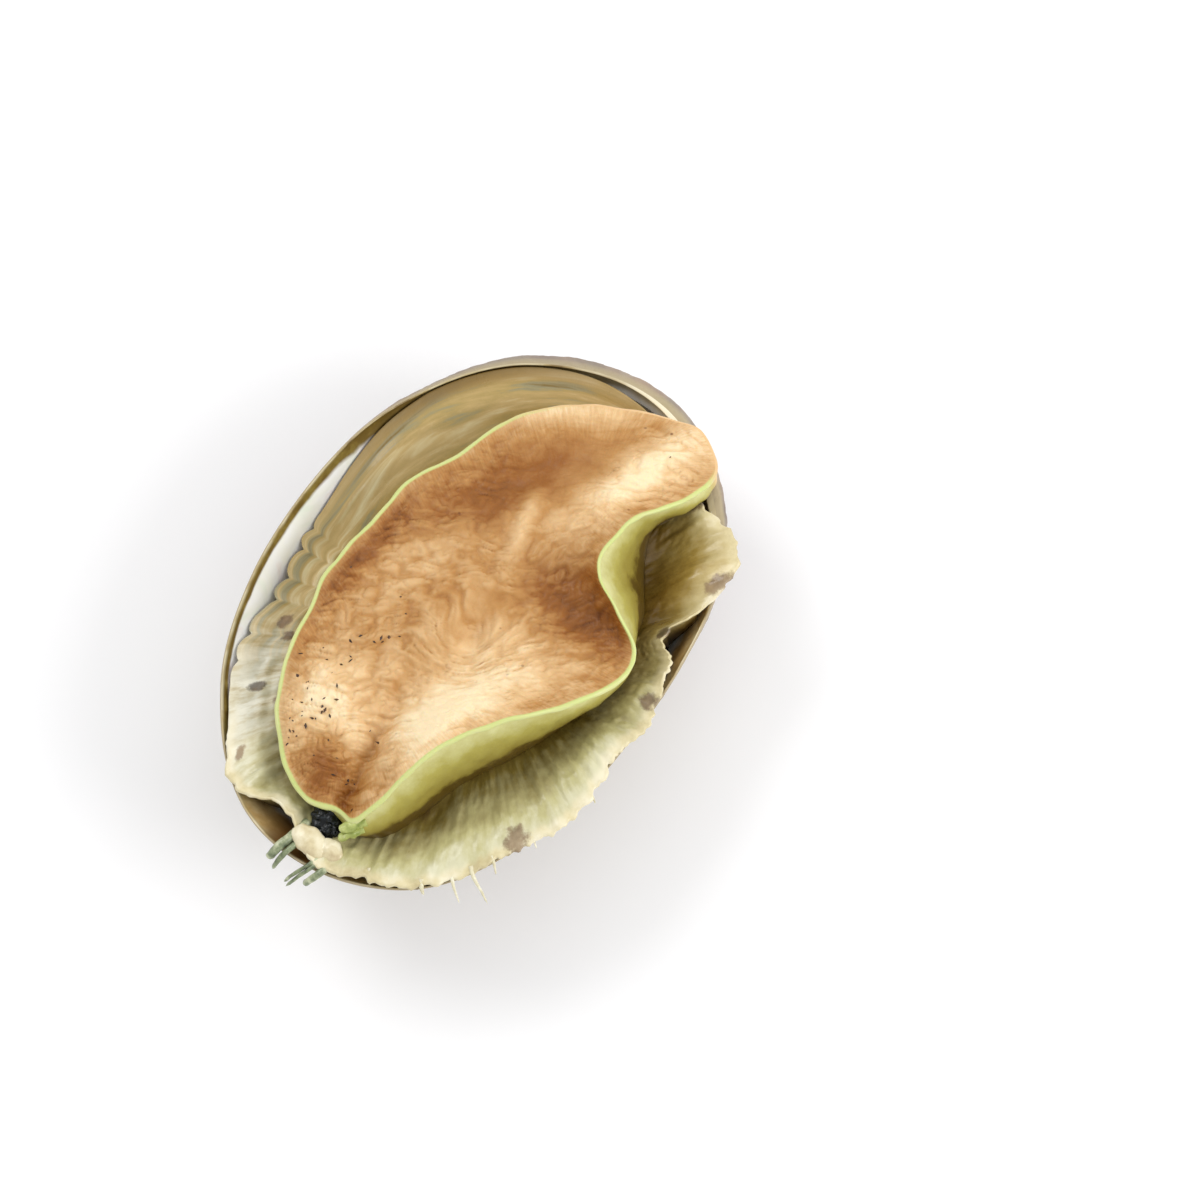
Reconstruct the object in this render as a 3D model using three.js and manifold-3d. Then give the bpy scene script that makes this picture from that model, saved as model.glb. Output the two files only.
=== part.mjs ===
// A greenlip abalone in its shell, lying on the crown of the shell with the sole of the foot facing up.
// Two pieces grew here and two pieces are modelled: the shell, a domed spiral bowl pierced by a row of breathing
// pores, and the soft body, one piece of flesh made of the foot, the fold round its sole and the mantle skirt.
// Millimetres, +Z up, +X towards the spire end, +Y towards the side with the pores.
// The origin is the middle of the outline, on the floor that the worn crown of the shell rests on.

import * as THREE from "three";
import { mergeVertices } from "three/addons/utils/BufferGeometryUtils.js";
import Module from "manifold-3d";

const wasm = await Module();
wasm.setup();

const TAU = 2 * Math.PI;
const DEGREE = Math.PI / 180;

// ---------------------------------------------------------------- driving dimensions, mm
const SHELL_DEPTH = 44; // crown to rim plane
const MOUTH_MIDDLE = { x: 0.83, y: -0.93 }; // from the origin, which is the middle of the whole outline, on the floor
const RIM_RADII = [77.5, 72.5, 62.5, 55.5, 56.5, 65, 75.5, 73, 60, 52.5, 55.5, 68]; // every 30 degrees from +X
const CROWN = { x: 3, y: -2 }; // deepest point, from the middle of the mouth
const CROWN_FLAT = 0.19; // worn flat, as a share of the rim radius
const RIM_ANGLE = 22 * DEGREE; // how far the wall is from upright at the rim, on a quarter-circle profile
const WALL_AT_RIM = 1.7;
const WALL_AT_CROWN = 3.6;
const CLEARANCE = 0.35; // between flesh and shell at the rim
const HOLLOW_CLEARANCE = 0.8; // and inside the bowl, where flat facets stand in for a curved wall

const OVERHANG = { angle: 20 * DEGREE, spread: 50 * DEGREE, reach: 5.2, depth: 0.1 }; // of the older whorls
const SPIRE = { x: 48, y: -15, radius: 8, height: 2.4, groove: 14 }; // low cap of the first whorls, and its suture
const LEDGE = { angle: -14 * DEGREE, spread: 20 * DEGREE, width: 3.2, height: 0.05 }; // flat inner lip at the spire
const PORES = { count: 6, first: 158 * DEGREE, pitch: 11 * DEGREE, place: 0.8, radius: 1.7, length: 24 };

const AROUND = 72; // facets around both pieces

// The flesh, by stations around the foot: [x, y, height] above the rim plane of the sole's edge, then of the foot's
// base. The first 12 run from the spire end along the pore side, the other 16 back along the open side.
const FOOT_STATIONS = [
  [[73.5, -17, 4], [69, -16, -6]],
  [[75.2, -6, 5], [68, -5, -8]],
  [[67.5, 8, 6], [60, 5, -10]],
  [[55, 22, 6], [48, 16, -12]],
  [[43, 29, 5], [37, 22, -13]],
  [[29, 31.5, 4], [25, 24, -14]],
  [[14, 36, 3], [12, 28, -14]],
  [[-1, 35, 3], [-2, 28, -14]],
  [[-15, 34, 3], [-15, 27, -13]],
  [[-26, 30, 4], [-25, 23, -12]],
  [[-42, 23.5, 6], [-38, 17, -10]],
  [[-56, 11, 6], [-50, 8, -8]],
  [[-62.5, -3, 5], [-57, -3, -6]],
  [[-59, -13, 6], [-58, -14, 0]],
  [[-59, -18, 9], [-61, -20, 4]],
  [[-50, -20.5, 13], [-54.5, -26, 3]],
  [[-38, -21.5, 17], [-42, -28, 2]],
  [[-27, -25, 18], [-32.5, -29.5, 2]],
  [[-15, -31, 17.5], [-18, -34.5, 2.5]],
  [[-2, -37.5, 15], [-4.5, -37.5, 3]],
  [[10, -42, 13.5], [9, -39.5, 3]],
  [[18, -39.5, 13], [20, -37.5, 3]],
  [[23, -29.5, 16.5], [30.5, -32, 1]],
  [[26, -21.5, 19], [37, -26.5, 0.5]],
  [[33, -16.5, 17], [43, -21.5, 1]],
  [[46, -16, 13], [49, -19.5, 1.5]],
  [[60, -20.5, 8], [60, -21.5, 2.5]],
  [[68, -21, 5.5], [68, -20.5, 1]],
];
const STATIONS_ON_PORE_SIDE = 12;
const SPINE = { x: 2, y: -2, half: 50, height: 9 }; // ridge that the sole is stretched from, along X

// The mantle's edge, every 15 degrees from +X: reach as a share of the rim radius, and height over the rim plane.
// From 0 to 165 degrees the mantle lines the wall; beyond that it spreads over the rim as a skirt.
const MANTLE_REACH = [
  0.93, 0.97, 0.985, 0.985, 0.98, 0.965, 0.935, 0.895, 0.885, 0.95, 0.98, 0.985,
  0.89, 0.95, 0.955, 0.955, 1.005, 1.03, 0.99, 1.01, 0.935, 0.96, 1.04, 0.9,
];
const MANTLE_HEIGHT = [
  -1, -2.2, -2.2, -2.4, -3, -4.5, -6.5, -7, -6.5, -3.5, -1, 0,
  3, 3, 3, 2.5, 3.2, 3.2, 3.2, 3.2, 2.5, 3.2, 4, 3,
];
const MANTLE_THICKNESS = 2;
const OVER_RIM = 3; // height at which the mantle is clear of the rim and may spread past it

// Two pairs of feelers by the mouth that hang out over the rim: thickness, then points of the centre line.
const FEELERS = [
  { radius: 0.9, line: [[-64, -17.5, 0.5], [-75.5, -16, 2.2], [-81, -14.5, -2.5]] },
  { radius: 0.9, line: [[-66, -10.5, 0], [-76, -10.5, 2.2], [-80.2, -10, -2.5]] },
  { radius: 1.3, line: [[-66, -8, -0.5], [-75.5, -7.5, 2.5], [-79, -7, -1.5]] },
  { radius: 1.2, line: [[-64, -19, 0.5], [-74, -19.5, 2.4], [-77.5, -18, -2.5]] },
];

// ---------------------------------------------------------------- curves
const mix = (a, b, share) => a + (b - a) * share;

// Closed Catmull-Rom curve through evenly spaced values, at a share of the way round.
function around(values, share) {
  const n = values.length;
  const place = (((share % 1) + 1) % 1) * n;
  const i = Math.floor(place);
  const t = place - i;
  const [a, b, c, d] = [-1, 0, 1, 2].map((step) => values[(i + step + n) % n]);
  return b + 0.5 * t * (c - a + t * (2 * a - 5 * b + 4 * c - d + t * (3 * (b - c) + d - a)));
}

// 1 at the middle angle, falling to 0 as a bell.
function bell(angle, middle, spread) {
  const away = Math.atan2(Math.sin(angle - middle), Math.cos(angle - middle));
  return Math.exp(-((away / spread) ** 2));
}

// ---------------------------------------------------------------- shell
const rimRadius = (angle) => around(RIM_RADII, angle / TAU);

// Depth of the bowl as a share, from 0 at the rim (share 1) to 1 on the flat crown.
function bowlDepth(share) {
  const beyondFlat = Math.max(0, share ** 2 - CROWN_FLAT ** 2) / (1 - CROWN_FLAT ** 2);
  const sine = Math.sin(RIM_ANGLE);
  return (Math.sqrt(1 - beyondFlat * Math.cos(RIM_ANGLE) ** 2) - sine) / (1 - sine);
}

// The share at which the bowl is that deep.
function bowlShare(depth) {
  const sine = mix(Math.sin(RIM_ANGLE), 1, Math.max(0, depth));
  return Math.sqrt(mix(CROWN_FLAT ** 2, 1, (1 - sine ** 2) / Math.cos(RIM_ANGLE) ** 2));
}

// A point on a bowl whose rim radius is cut by inset and whose depth is cut by floor, with the belly of the older
// whorls under the rim at the spire end.
function bowlPoint(angle, share, inset, floor, overhang) {
  const depth = bowlDepth(share);
  const under = depth / OVERHANG.depth;
  const belly = under * Math.exp(1 - under);
  const bulge = overhang * bell(angle, OVERHANG.angle, OVERHANG.spread) * belly;
  const radius = (rimRadius(angle) - inset) * share + bulge;
  return new THREE.Vector3(
    CROWN.x * (1 - share) + radius * Math.cos(angle),
    CROWN.y * (1 - share) + radius * Math.sin(angle),
    -(SHELL_DEPTH - floor) * depth,
  );
}

// The outer wall, with the spire standing out of it inside a shallow ring.
function outerPoint(angle, share, grow) {
  const point = bowlPoint(angle, share, -grow, -grow, OVERHANG.reach);
  const away = Math.hypot(point.x - SPIRE.x, point.y - SPIRE.y);
  const cap = Math.exp(-((away / SPIRE.radius) ** 2));
  const suture = Math.exp(-(((away - SPIRE.groove) / (SPIRE.radius / 2)) ** 2));
  const outward = point.clone().setZ(point.z * 1.5).normalize();
  return point.addScaledVector(outward, SPIRE.height * (cap - 0.3 * suture));
}

// The inner wall, with the flat ledge of the inner lip standing in from the rim at the spire end.
function innerPoint(angle, share, grow) {
  const lip = Math.exp(-(((1 - share) / LEDGE.height) ** 2));
  const ledge = LEDGE.width * bell(angle, LEDGE.angle, LEDGE.spread) * lip;
  return bowlPoint(angle, share, WALL_AT_RIM + ledge + grow, WALL_AT_CROWN + grow, OVERHANG.reach * 0.8);
}

const OUTER_SHARES = [1, 0.985, 0.955, 0.915, 0.865, 0.81, 0.745, 0.67, 0.585, 0.49, 0.385, 0.28, CROWN_FLAT];
const INNER_SHARES = [0.14, 0.28, 0.42, 0.55, 0.67, 0.77, 0.85, 0.91, 0.955, 0.98, 1];

function ring(pointAt) {
  return Array.from({ length: AROUND }, (_, i) => pointAt((i / AROUND) * TAU, i / AROUND));
}

// A closed skin over a stack of rings, from a first pole to a last one. A first ring that folds flat on itself,
// like a seam, needs no pole.
function closedSkin(rings, lastPole, firstPole) {
  const points = [...rings.flat(), lastPole, firstPole ?? lastPole];
  const last = rings.length * AROUND;
  const at = (row, i) => row * AROUND + (i % AROUND);
  const triangles = [];
  for (let i = 0; i < AROUND; i++) {
    if (firstPole) triangles.push(last + 1, at(0, i), at(0, i + 1));
    triangles.push(last, at(rings.length - 1, i + 1), at(rings.length - 1, i));
    for (let row = 0; row + 1 < rings.length; row++) {
      triangles.push(at(row, i), at(row + 1, i), at(row, i + 1));
      triangles.push(at(row, i + 1), at(row + 1, i), at(row + 1, i + 1));
    }
  }
  const geometry = new THREE.BufferGeometry().setFromPoints(points);
  geometry.setIndex(triangles);
  return geometry;
}

// The wall as one skin: up the inside, over the lip and down the outside. grow thickens it on every side.
function wallGeometry(grow) {
  const rings = [
    ...INNER_SHARES.map((share) => ring((angle) => innerPoint(angle, share, grow))),
    ring((angle) => innerPoint(angle, 1, grow).lerp(outerPoint(angle, 1, grow), 0.5).setZ(0.5 + grow)),
    ...OUTER_SHARES.map((share) => ring((angle) => outerPoint(angle, share, grow))),
  ];
  return closedSkin(rings, outerPoint(0, 0, grow), innerPoint(0, 0, grow));
}

// The breathing pores, as rods square to the wall.
function poreGeometries() {
  return Array.from({ length: PORES.count }, (_, i) => {
    const angle = PORES.first - i * PORES.pitch;
    const centre = outerPoint(angle, PORES.place, 0);
    const along = outerPoint(angle + 0.01, PORES.place, 0).sub(centre);
    const down = outerPoint(angle, PORES.place - 0.01, 0).sub(centre);
    const normal = along.cross(down).normalize();
    const rod = new THREE.CylinderGeometry(PORES.radius, PORES.radius, PORES.length, 12);
    rod.applyQuaternion(new THREE.Quaternion().setFromUnitVectors(new THREE.Vector3(0, 1, 0), normal));
    return rod.translate(centre.x, centre.y, centre.z);
  });
}

// ---------------------------------------------------------------- soft body
// A station curve, at a share of the way round: half of the turn is the pore side.
function footPoint(column, share) {
  const total = FOOT_STATIONS.length;
  const open = total - STATIONS_ON_PORE_SIDE;
  const place =
    share < 0.5 ? share * 2 * STATIONS_ON_PORE_SIDE : STATIONS_ON_PORE_SIDE + (share - 0.5) * 2 * open;
  const [x, y, z] = [0, 1, 2].map((axis) =>
    around(FOOT_STATIONS.map((station) => station[column][axis]), place / total),
  );
  return new THREE.Vector3(x, y, z);
}

const spinePoint = (share, height) =>
  new THREE.Vector3(SPINE.x + SPINE.half * Math.cos(share * TAU), SPINE.y, height);

// The mantle's edge, straight out from a point of the foot's base. Where it hangs below the rim it is held clear of
// the wall.
function mantleEdge(base) {
  const angle = Math.atan2(base.y, base.x);
  const height = around(MANTLE_HEIGHT, angle / TAU);
  const depth = (MANTLE_THICKNESS - height) / (SHELL_DEPTH - WALL_AT_CROWN);
  const wall = innerPoint(angle, bowlShare(depth), HOLLOW_CLEARANCE).setZ(0).length();
  const reach = rimRadius(angle) * around(MANTLE_REACH, angle / TAU);
  const radius = height > OVER_RIM ? reach : Math.min(reach, wall);
  return new THREE.Vector3(radius * Math.cos(angle), radius * Math.sin(angle), height);
}

// A point of the bowl's hollow below the mantle's edge, clear of the wall.
function hollowPoint(edge, share) {
  return innerPoint(Math.atan2(edge.y, edge.x), share, HOLLOW_CLEARANCE);
}

const SOLE_SHARES = [0.18, 0.36, 0.54, 0.7, 0.84, 0.94];
const MANTLE_SHARES = [0.12, 0.4, 0.7, 0.92];
const HOLLOW_SHARES = [0.9, 0.8, 0.68, 0.54, 0.38, 0.2];

// One skin: from the spine over the sole to its edge, down the fold, out over the mantle, round the mantle's edge
// and back down the inside of the bowl.
function bodyGeometry() {
  const edge = (share) => footPoint(0, share);
  const base = (share) => footPoint(1, share);
  const sole = SOLE_SHARES.map((v) =>
    ring((_, share) => {
      const point = spinePoint(share, SPINE.height).lerp(edge(share), v);
      return point.setZ(mix(SPINE.height, edge(share).z, v ** 2));
    }),
  );
  const fold = [0, 0.35, 0.7, 1].map((v) =>
    ring((_, share) => {
      const swell = 1.2 * Math.sin(Math.PI * v);
      const point = edge(share).lerp(base(share), v);
      return point.add(new THREE.Vector3(point.x, point.y, 0).normalize().multiplyScalar(swell));
    }),
  );
  const mantle = MANTLE_SHARES.map((v) =>
    ring((_, share) => {
      const point = base(share).lerp(mantleEdge(base(share)), v);
      return point.setZ(point.z + Math.sin(Math.PI * v));
    }),
  );
  const lip = [0, 1].map((v) =>
    ring((_, share) => {
      const rim = mantleEdge(base(share));
      return rim.multiply(new THREE.Vector3(1 - 0.015 * v, 1 - 0.015 * v, 1)).setZ(rim.z - MANTLE_THICKNESS * v);
    }),
  );
  const hollow = HOLLOW_SHARES.map((v) => ring((_, share) => hollowPoint(mantleEdge(base(share)), v)));
  const spine = ring((_, share) => spinePoint(share, SPINE.height));
  const rings = [spine, ...sole, ...fold, ...mantle, ...lip, ...hollow];
  return closedSkin(rings, hollowPoint(new THREE.Vector3(1, 0, 0), 0));
}

// The feelers as rods with round ends, one to each stretch of their lines.
function feelerGeometries() {
  return FEELERS.flatMap(({ radius, line }) =>
    line.slice(1).map((end, i) => {
      const [from, to] = [line[i], end].map((place) => new THREE.Vector3(...place));
      const along = to.clone().sub(from);
      const rod = new THREE.CapsuleGeometry(radius, along.length(), 3, 8);
      rod.applyQuaternion(new THREE.Quaternion().setFromUnitVectors(new THREE.Vector3(0, 1, 0), along.normalize()));
      return rod.translate(...from.lerp(to, 0.5).toArray());
    }),
  );
}

// ---------------------------------------------------------------- solids
function toSolid(geometry) {
  const bare = geometry.clone();
  bare.deleteAttribute("normal");
  bare.deleteAttribute("uv");
  const merged = mergeVertices(bare, 1e-3);
  const corners = merged.index.array;
  const triVerts = [];
  for (let i = 0; i < corners.length; i += 3) {
    const [a, b, c] = [corners[i], corners[i + 1], corners[i + 2]];
    if (a !== b && b !== c && c !== a) triVerts.push(a, b, c);
  }
  return new wasm.Manifold(
    new wasm.Mesh({
      numProp: 3,
      vertProperties: merged.attributes.position.array,
      triVerts: new Uint32Array(triVerts),
    }),
  );
}

function toMesh(name, solid, material) {
  const made = solid.getMesh();
  const geometry = new THREE.BufferGeometry();
  geometry.setAttribute("position", new THREE.BufferAttribute(new Float32Array(made.vertProperties), 3));
  geometry.setIndex(new THREE.BufferAttribute(new Uint32Array(made.triVerts), 1));
  geometry.computeVertexNormals();
  const mesh = new THREE.Mesh(geometry, material);
  mesh.name = name;
  return mesh;
}

const largest = (solid) => solid.decompose().reduce((a, b) => (b.volume() > a.volume() ? b : a));

const pores = poreGeometries().map(toSolid);
const shellSolid = pores.reduce((wall, pore) => wall.subtract(pore), toSolid(wallGeometry(0)));
const grownBody = feelerGeometries().reduce((body, rod) => body.add(toSolid(rod)), toSolid(bodyGeometry()));
const bodySolid = largest(grownBody.subtract(toSolid(wallGeometry(CLEARANCE)))).simplify(0.05);

const shellMaterial = new THREE.MeshStandardMaterial({ color: 0xb9ab8c, roughness: 0.55, metalness: 0 });
const fleshMaterial = new THREE.MeshStandardMaterial({ color: 0xd9a766, roughness: 0.45, metalness: 0 });

const abalone = new THREE.Group();
abalone.add(toMesh("shell", shellSolid, shellMaterial));
abalone.add(toMesh("soft_body", bodySolid, fleshMaterial));
abalone.position.set(MOUTH_MIDDLE.x, MOUTH_MIDDLE.y, SHELL_DEPTH);

export default abalone;
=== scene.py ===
"""A greenlip abalone in its shell, lying on the crown of the shell with the sole of the foot facing up.

Shapes are worked out in millimetres about the middle of the shell's mouth, with the rim plane at height
0: +X towards the spire, +Y towards the side with the breathing pores, +Z up. MOUTH carries them into the
part's own frame.
"""

import itertools
import math

import bmesh
import bpy
import numpy as np
from bpy.props import FloatProperty, FloatVectorProperty, PointerProperty
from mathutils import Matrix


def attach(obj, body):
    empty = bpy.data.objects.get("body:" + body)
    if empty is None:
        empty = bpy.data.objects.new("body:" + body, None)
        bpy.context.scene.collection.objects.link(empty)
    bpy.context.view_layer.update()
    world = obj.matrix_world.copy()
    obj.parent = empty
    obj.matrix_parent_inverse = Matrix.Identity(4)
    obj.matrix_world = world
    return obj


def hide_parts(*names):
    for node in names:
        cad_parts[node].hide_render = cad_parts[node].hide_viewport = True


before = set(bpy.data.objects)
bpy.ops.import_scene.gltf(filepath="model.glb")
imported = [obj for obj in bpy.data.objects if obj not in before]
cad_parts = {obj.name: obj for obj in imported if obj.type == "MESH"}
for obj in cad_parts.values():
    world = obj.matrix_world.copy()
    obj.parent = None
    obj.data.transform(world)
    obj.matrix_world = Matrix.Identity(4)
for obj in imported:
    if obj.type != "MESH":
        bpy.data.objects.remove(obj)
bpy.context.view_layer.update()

bl_info = {
    "name": "Abalone in its shell",
    "version": (1, 0, 0),
    "blender": (4, 5, 0),
    "location": "3D View > Sidebar > Abalone",
    "description": "Builds a raw greenlip abalone lying in its shell, piece by piece",
    "category": "Add Mesh",
}

MOUTH = np.array([0.83, -0.93, 44.0])
TAU = 2 * math.pi
# The camera's sensor in mm, and how far the mouth's middle stands to the right of the frame's middle and
# above it, as shares of the frame's width.
SENSOR, MOUTH_ASIDE, MOUTH_ABOVE = 36, -0.1094, -0.0152

# ------------------------------------------------------------------ sizes of the shell, mm
SHELL_DEPTH = 44.0
RIM_RADII = [77.5, 72.5, 62.5, 55.5, 56.5, 65, 75.5, 73, 60, 52.5, 55.5, 68]  # every 30 degrees from +X
CROWN = np.array([3.0, -2.0])
CROWN_FLAT = 0.19
RIM_ANGLE = math.radians(22)
WALL_AT_RIM, WALL_AT_CROWN, LIP_EDGE = 1.7, 3.6, 0.7
OVERHANG = {"angle": math.radians(20), "spread": math.radians(50), "reach": 5.2, "depth": 0.1}
SPIRE = np.array([48.0, -15.0])
SPIRE_CAP, SPIRE_RISE, SUTURE = 8.0, 2.4, 14.0
WHORL_RATE = 0.55  # how fast the whorls widen, per radian
LEDGE = {"angle": math.radians(-14), "spread": math.radians(20), "width": 3.2, "height": 0.05}
PORES = [(math.radians(158 - 11 * i), 0.8) for i in range(6)]
HEALED_PORES = [(math.radians(92 - 10 * i), 0.8 - 0.018 * i) for i in range(7)]

# ------------------------------------------------------------------ sizes of the flesh, mm
# Stations around the foot: the sole's edge, then the foot's base. 12 are on the pore side, then 16 on the
# open side.
SOLE_EDGE = [
    (73.5, -17, 4), (75.2, -6, 5), (67.5, 8, 6), (55, 22, 6), (43, 29, 5), (29, 31.5, 4), (14, 36, 3),
    (-1, 35, 3), (-15, 34, 3), (-26, 30, 4), (-42, 23.5, 6), (-56, 11, 6), (-62.5, -3, 5), (-59, -13, 6),
    (-59, -18, 9), (-50, -20.5, 13), (-38, -21.5, 17), (-27, -25, 18), (-15, -31, 17.5), (-2, -37.5, 15),
    (10, -42, 13.5), (18, -39.5, 13), (23, -29.5, 16.5), (26, -21.5, 19), (33, -16.5, 17), (46, -16, 13),
    (60, -20.5, 8), (68, -21, 5.5),
]
FOOT_BASE = [
    (69, -16, -6), (67, -6, -8), (59, 5, -10), (48, 16, -12), (37, 22, -13), (25, 24, -14), (12, 28, -14),
    (-2, 28, -14), (-15, 27, -13), (-25, 23, -12), (-38, 17, -10), (-50, 8, -8), (-57, -3, -6),
    (-58, -14, -2), (-60, -19.5, 0), (-53.4, -25, -3), (-41, -27, -4), (-31.5, -28.5, -4),
    (-17, -33.5, -3.5), (-3.5, -36.5, -3), (9.5, -37.5, -3), (19.5, -35.5, -3), (30.5, -32, -3),
    (37, -26.5, -4), (44, -20.5, -4), (51.5, -17, -3), (60, -20.5, 0), (68, -20.5, 0),
]
STATIONS_ON_PORE_SIDE = 12
SPINE_X, SPINE_Y, SPINE_HALF, SPINE_HEIGHT = 2.0, -2.0, 50.0, 9.0

# Swellings and hollows of the sole: place, half length, half width, turn in degrees, lift, and tone from -1,
# pale, to 1, dark. The tone is partly the skin's stain and partly painted light and shade, pale on the
# swellings and dark in the hollows.
SOLE_FEATURES = [
    (36, 15, 26, 8, -24, -3.0, 0.65),
    (57, 18, 17, 4, -52, 1.0, -0.7),
    (70, -8, 9, 6, 0, 1.0, -0.2),
    (54, -8, 24, 6, -11, 2.6, -1.0),
    (26, 5, 10, 2.5, 25, 1.3, -0.6),
    (18, -22, 17, 9, -92, -1.0, 0.75),
    (22, -31, 9, 5, -60, 0.0, 0.35),
    (-4, -6, 5, 3.5, 30, -2.2, 0.2),
    (-3, -11, 12, 8, -20, 0.6, -0.5),
    (-13, 1, 9, 6, 10, 2.0, -0.2),
    (-21, -18, 28, 8, -21, 3.0, -1.0),
    (-38, -20, 12, 5, 12, 1.0, -0.4),
    (-47, -10, 17, 2.6, 17, -4.5, 0.5),
    (-43, 9, 14, 12, 0, 2.2, -0.95),
    (-55, -5, 6, 6, 0, 0.0, 0.6),
    (-10, 30, 24, 3.6, 4, 0.6, 0.6),
    (-42, 19, 12, 3, 40, 0.3, 0.3),
    (22, 8, 26, 18, -20, 0.0, 0.2),
    (-54, 3, 6, 14, -20, 0.0, 0.2),
    (2, 17, 16, 8, -20, 0.0, -0.32),
    (8, -1, 10, 8, 20, 0.0, -0.25),
    (-24, -9, 10, 6, 10, 0.0, -0.28),
    (-50, -1, 6, 6, 0, 0.0, 0.35),
]

# The mantle from +X round: where it meets the foot, as a share of the rim radius, and its height there,
# every 15 degrees; then where its edge is and the edge's height, every 7.5 degrees.
MANTLE_MEET = [
    0.8, 0.68, 0.58, 0.5, 0.49, 0.5, 0.5, 0.52, 0.55, 0.57, 0.61, 0.66,
    0.74, 0.74, 0.68, 0.57, 0.57, 0.62, 0.66, 0.68, 0.7, 0.66, 0.62, 0.74,
]
MANTLE_FLOOR = [
    -8, -10, -12, -14, -14, -14, -13, -12, -11, -10, -8, -7,
    -5, -4, -4, -4, -4, -4, -4, -4, -4, -5, -6, -4,
]
MANTLE_REACH = [
    0.93, 0.95, 0.97, 0.985, 0.99, 0.99, 0.99, 0.99, 0.985, 0.975, 0.965, 0.95,
    0.935, 0.915, 0.895, 0.885, 0.885, 0.895, 0.95, 0.975, 0.98, 0.985, 0.985, 0.98,
    0.89, 0.93, 0.985, 0.985, 0.99, 1.0, 1.0, 1.005, 1.02, 1.045, 1.03, 1.01,
    0.995, 1.03, 1.01, 0.96, 0.935, 0.86, 0.97, 1.05, 1.03, 0.94, 0.9, 0.92,
]
MANTLE_HEIGHT = [
    -0.8, -1.4, -1.4, -1.3, -1.3, -1.4, -1.6, -2, -2.6, -3.3, -4.4, -5.5,
    -6.5, -7, -7, -7, -6.5, -5.5, -3.5, -2, -1, -0.5, 0, 1.5,
    3, 3, 3, 3, 3, 2.5, 2.5, 2.5, 3, 3.2, 3.2, 3,
    3, 3.2, 3, 2.5, 2.5, 2, 3, 4, 4, 3.6, 3, 1,
]
# Brown patches on the mantle: the middle of each, as an angle in degrees and a share of the way from the
# foot to the edge, then its half size in the same two measures.
MANTLE_PATCHES = [
    (235, 0.93, 4.5, 0.2), (286, 0.9, 4, 0.22), (320, 0.93, 4, 0.2), (308, 0.92, 3, 0.25),
    (341, 0.95, 3, 0.3), (131, 0.66, 4, 0.14), (136, 0.55, 3, 0.12), (151, 0.7, 2.2, 0.16),
    (156, 0.42, 2.6, 0.12), (166, 0.85, 2.2, 0.1),
]
# How far the mantle keeps from the shell's inner wall, at its edge and underneath.
EDGE_GAP, UNDER_GAP = 0.45, 0.9

# Feelers by the mouth, then the tips of the fringe: radius at the root and the tip, and the centre line.
FEELERS = [
    (0.6, 0.4, [
        (-66, -19.5, 0.5), (-70, -18.2, 1.8), (-74.5, -17.2, 2.0), (-78.5, -15.9, 0.2), (-81, -14.9, -2.5),
    ]),
    (0.6, 0.4, [
        (-66, -18.5, 0.5), (-70, -17.2, 2.0), (-74.5, -16.2, 2.2), (-78.2, -14.8, 0.4),
        (-80.4, -13.9, -2.0),
    ]),
    (0.95, 0.55, [
        (-66, -10.5, 0.0), (-71, -10.3, 1.6), (-75.4, -9.9, 2.0), (-78.6, -9.6, 0), (-80, -9.4, -2.5),
    ]),
    (1.4, 1.0, [
        (-66, -8, -0.5), (-71, -8, 1.4), (-75.0, -7.7, 2.2), (-77.6, -7.3, 0.6), (-78.8, -7, -1.0),
    ]),
    (1.2, 0.8, [
        (-65, -20, 0.0), (-69, -20, 1.4), (-73.5, -19.8, 2.0), (-76.4, -18.8, 0.2), (-77.4, -18, -2.0),
    ]),
]
FRINGE = [
    (0.5, 0.15, [(-64.4, -27.9, 2.4), (-66.0, -29.6, 2.2), (-67.0, -30.3, -0.6)]),
    (0.4, 0.12, [(-60.9, -32.0, 2.6), (-62.4, -33.7, 2.2), (-63.1, -34.4, -0.6)]),
    (0.8, 0.2, [(-57.6, -39.2, 2.4), (-59.2, -40.8, 1.8), (-59.6, -41.7, -0.8)]),
    (0.55, 0.18, [(-52.1, -44.3, 2.6), (-53.7, -46.5, 1.9), (-54.7, -49.0, -3.4)]),
    (0.65, 0.15, [(-47.1, -45.9, 2.8), (-48.6, -48.4, 2.4), (-49.4, -51.7, -0.5), (-50.0, -54.1, -4)]),
    (0.5, 0.15, [(-41.6, -47.8, 2.8), (-42.8, -49.8, 2.2), (-43.7, -51.1, -1)]),
    (0.4, 0.15, [(-30.7, -50.7, 2.8), (-31.8, -52.9, 2.6), (-32.4, -54.2, 0.9)]),
    (0.4, 0.15, [(-13.3, -54.3, 2.8), (-13.7, -56.0, 2.6), (-14.1, -57.0, 1.2)]),
]


# ------------------------------------------------------------------ curves, noise and meshes
def catmull_rom(a, b, c, d, t):
    """From b to c as t runs from 0 to 1: b plus half of t times (c-a) + t(2a-5b+4c-d) + t²(3(b-c)+d-a)."""
    return b + 0.5 * t * (c - a + t * (2 * a - 5 * b + 4 * c - d + t * (3 * (b - c) + d - a)))


def around(values, share):
    """Closed Catmull-Rom curve through evenly spaced values, at a share of the way round."""
    values = np.asarray(values, float)
    place = (share % 1.0) * len(values)
    i = np.floor(place).astype(int)
    t = place - i
    if values.ndim == 2:
        t = t[..., None]
    return catmull_rom(*(values[(i + step) % len(values)] for step in (-1, 0, 1, 2)), t)


def ramp(value, low, high):
    """0 below low and 1 above high, with the smooth step 3t²-2t³ between."""
    t = np.clip((value - low) / (high - low), 0, 1)
    return t * t * (3 - 2 * t)


def bell(angle, middle, spread):
    """exp(-(difference / spread)²), with the difference of the angles taken the short way round."""
    away = np.arctan2(np.sin(angle - middle), np.cos(angle - middle))
    return np.exp(-((away / spread) ** 2))


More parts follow.
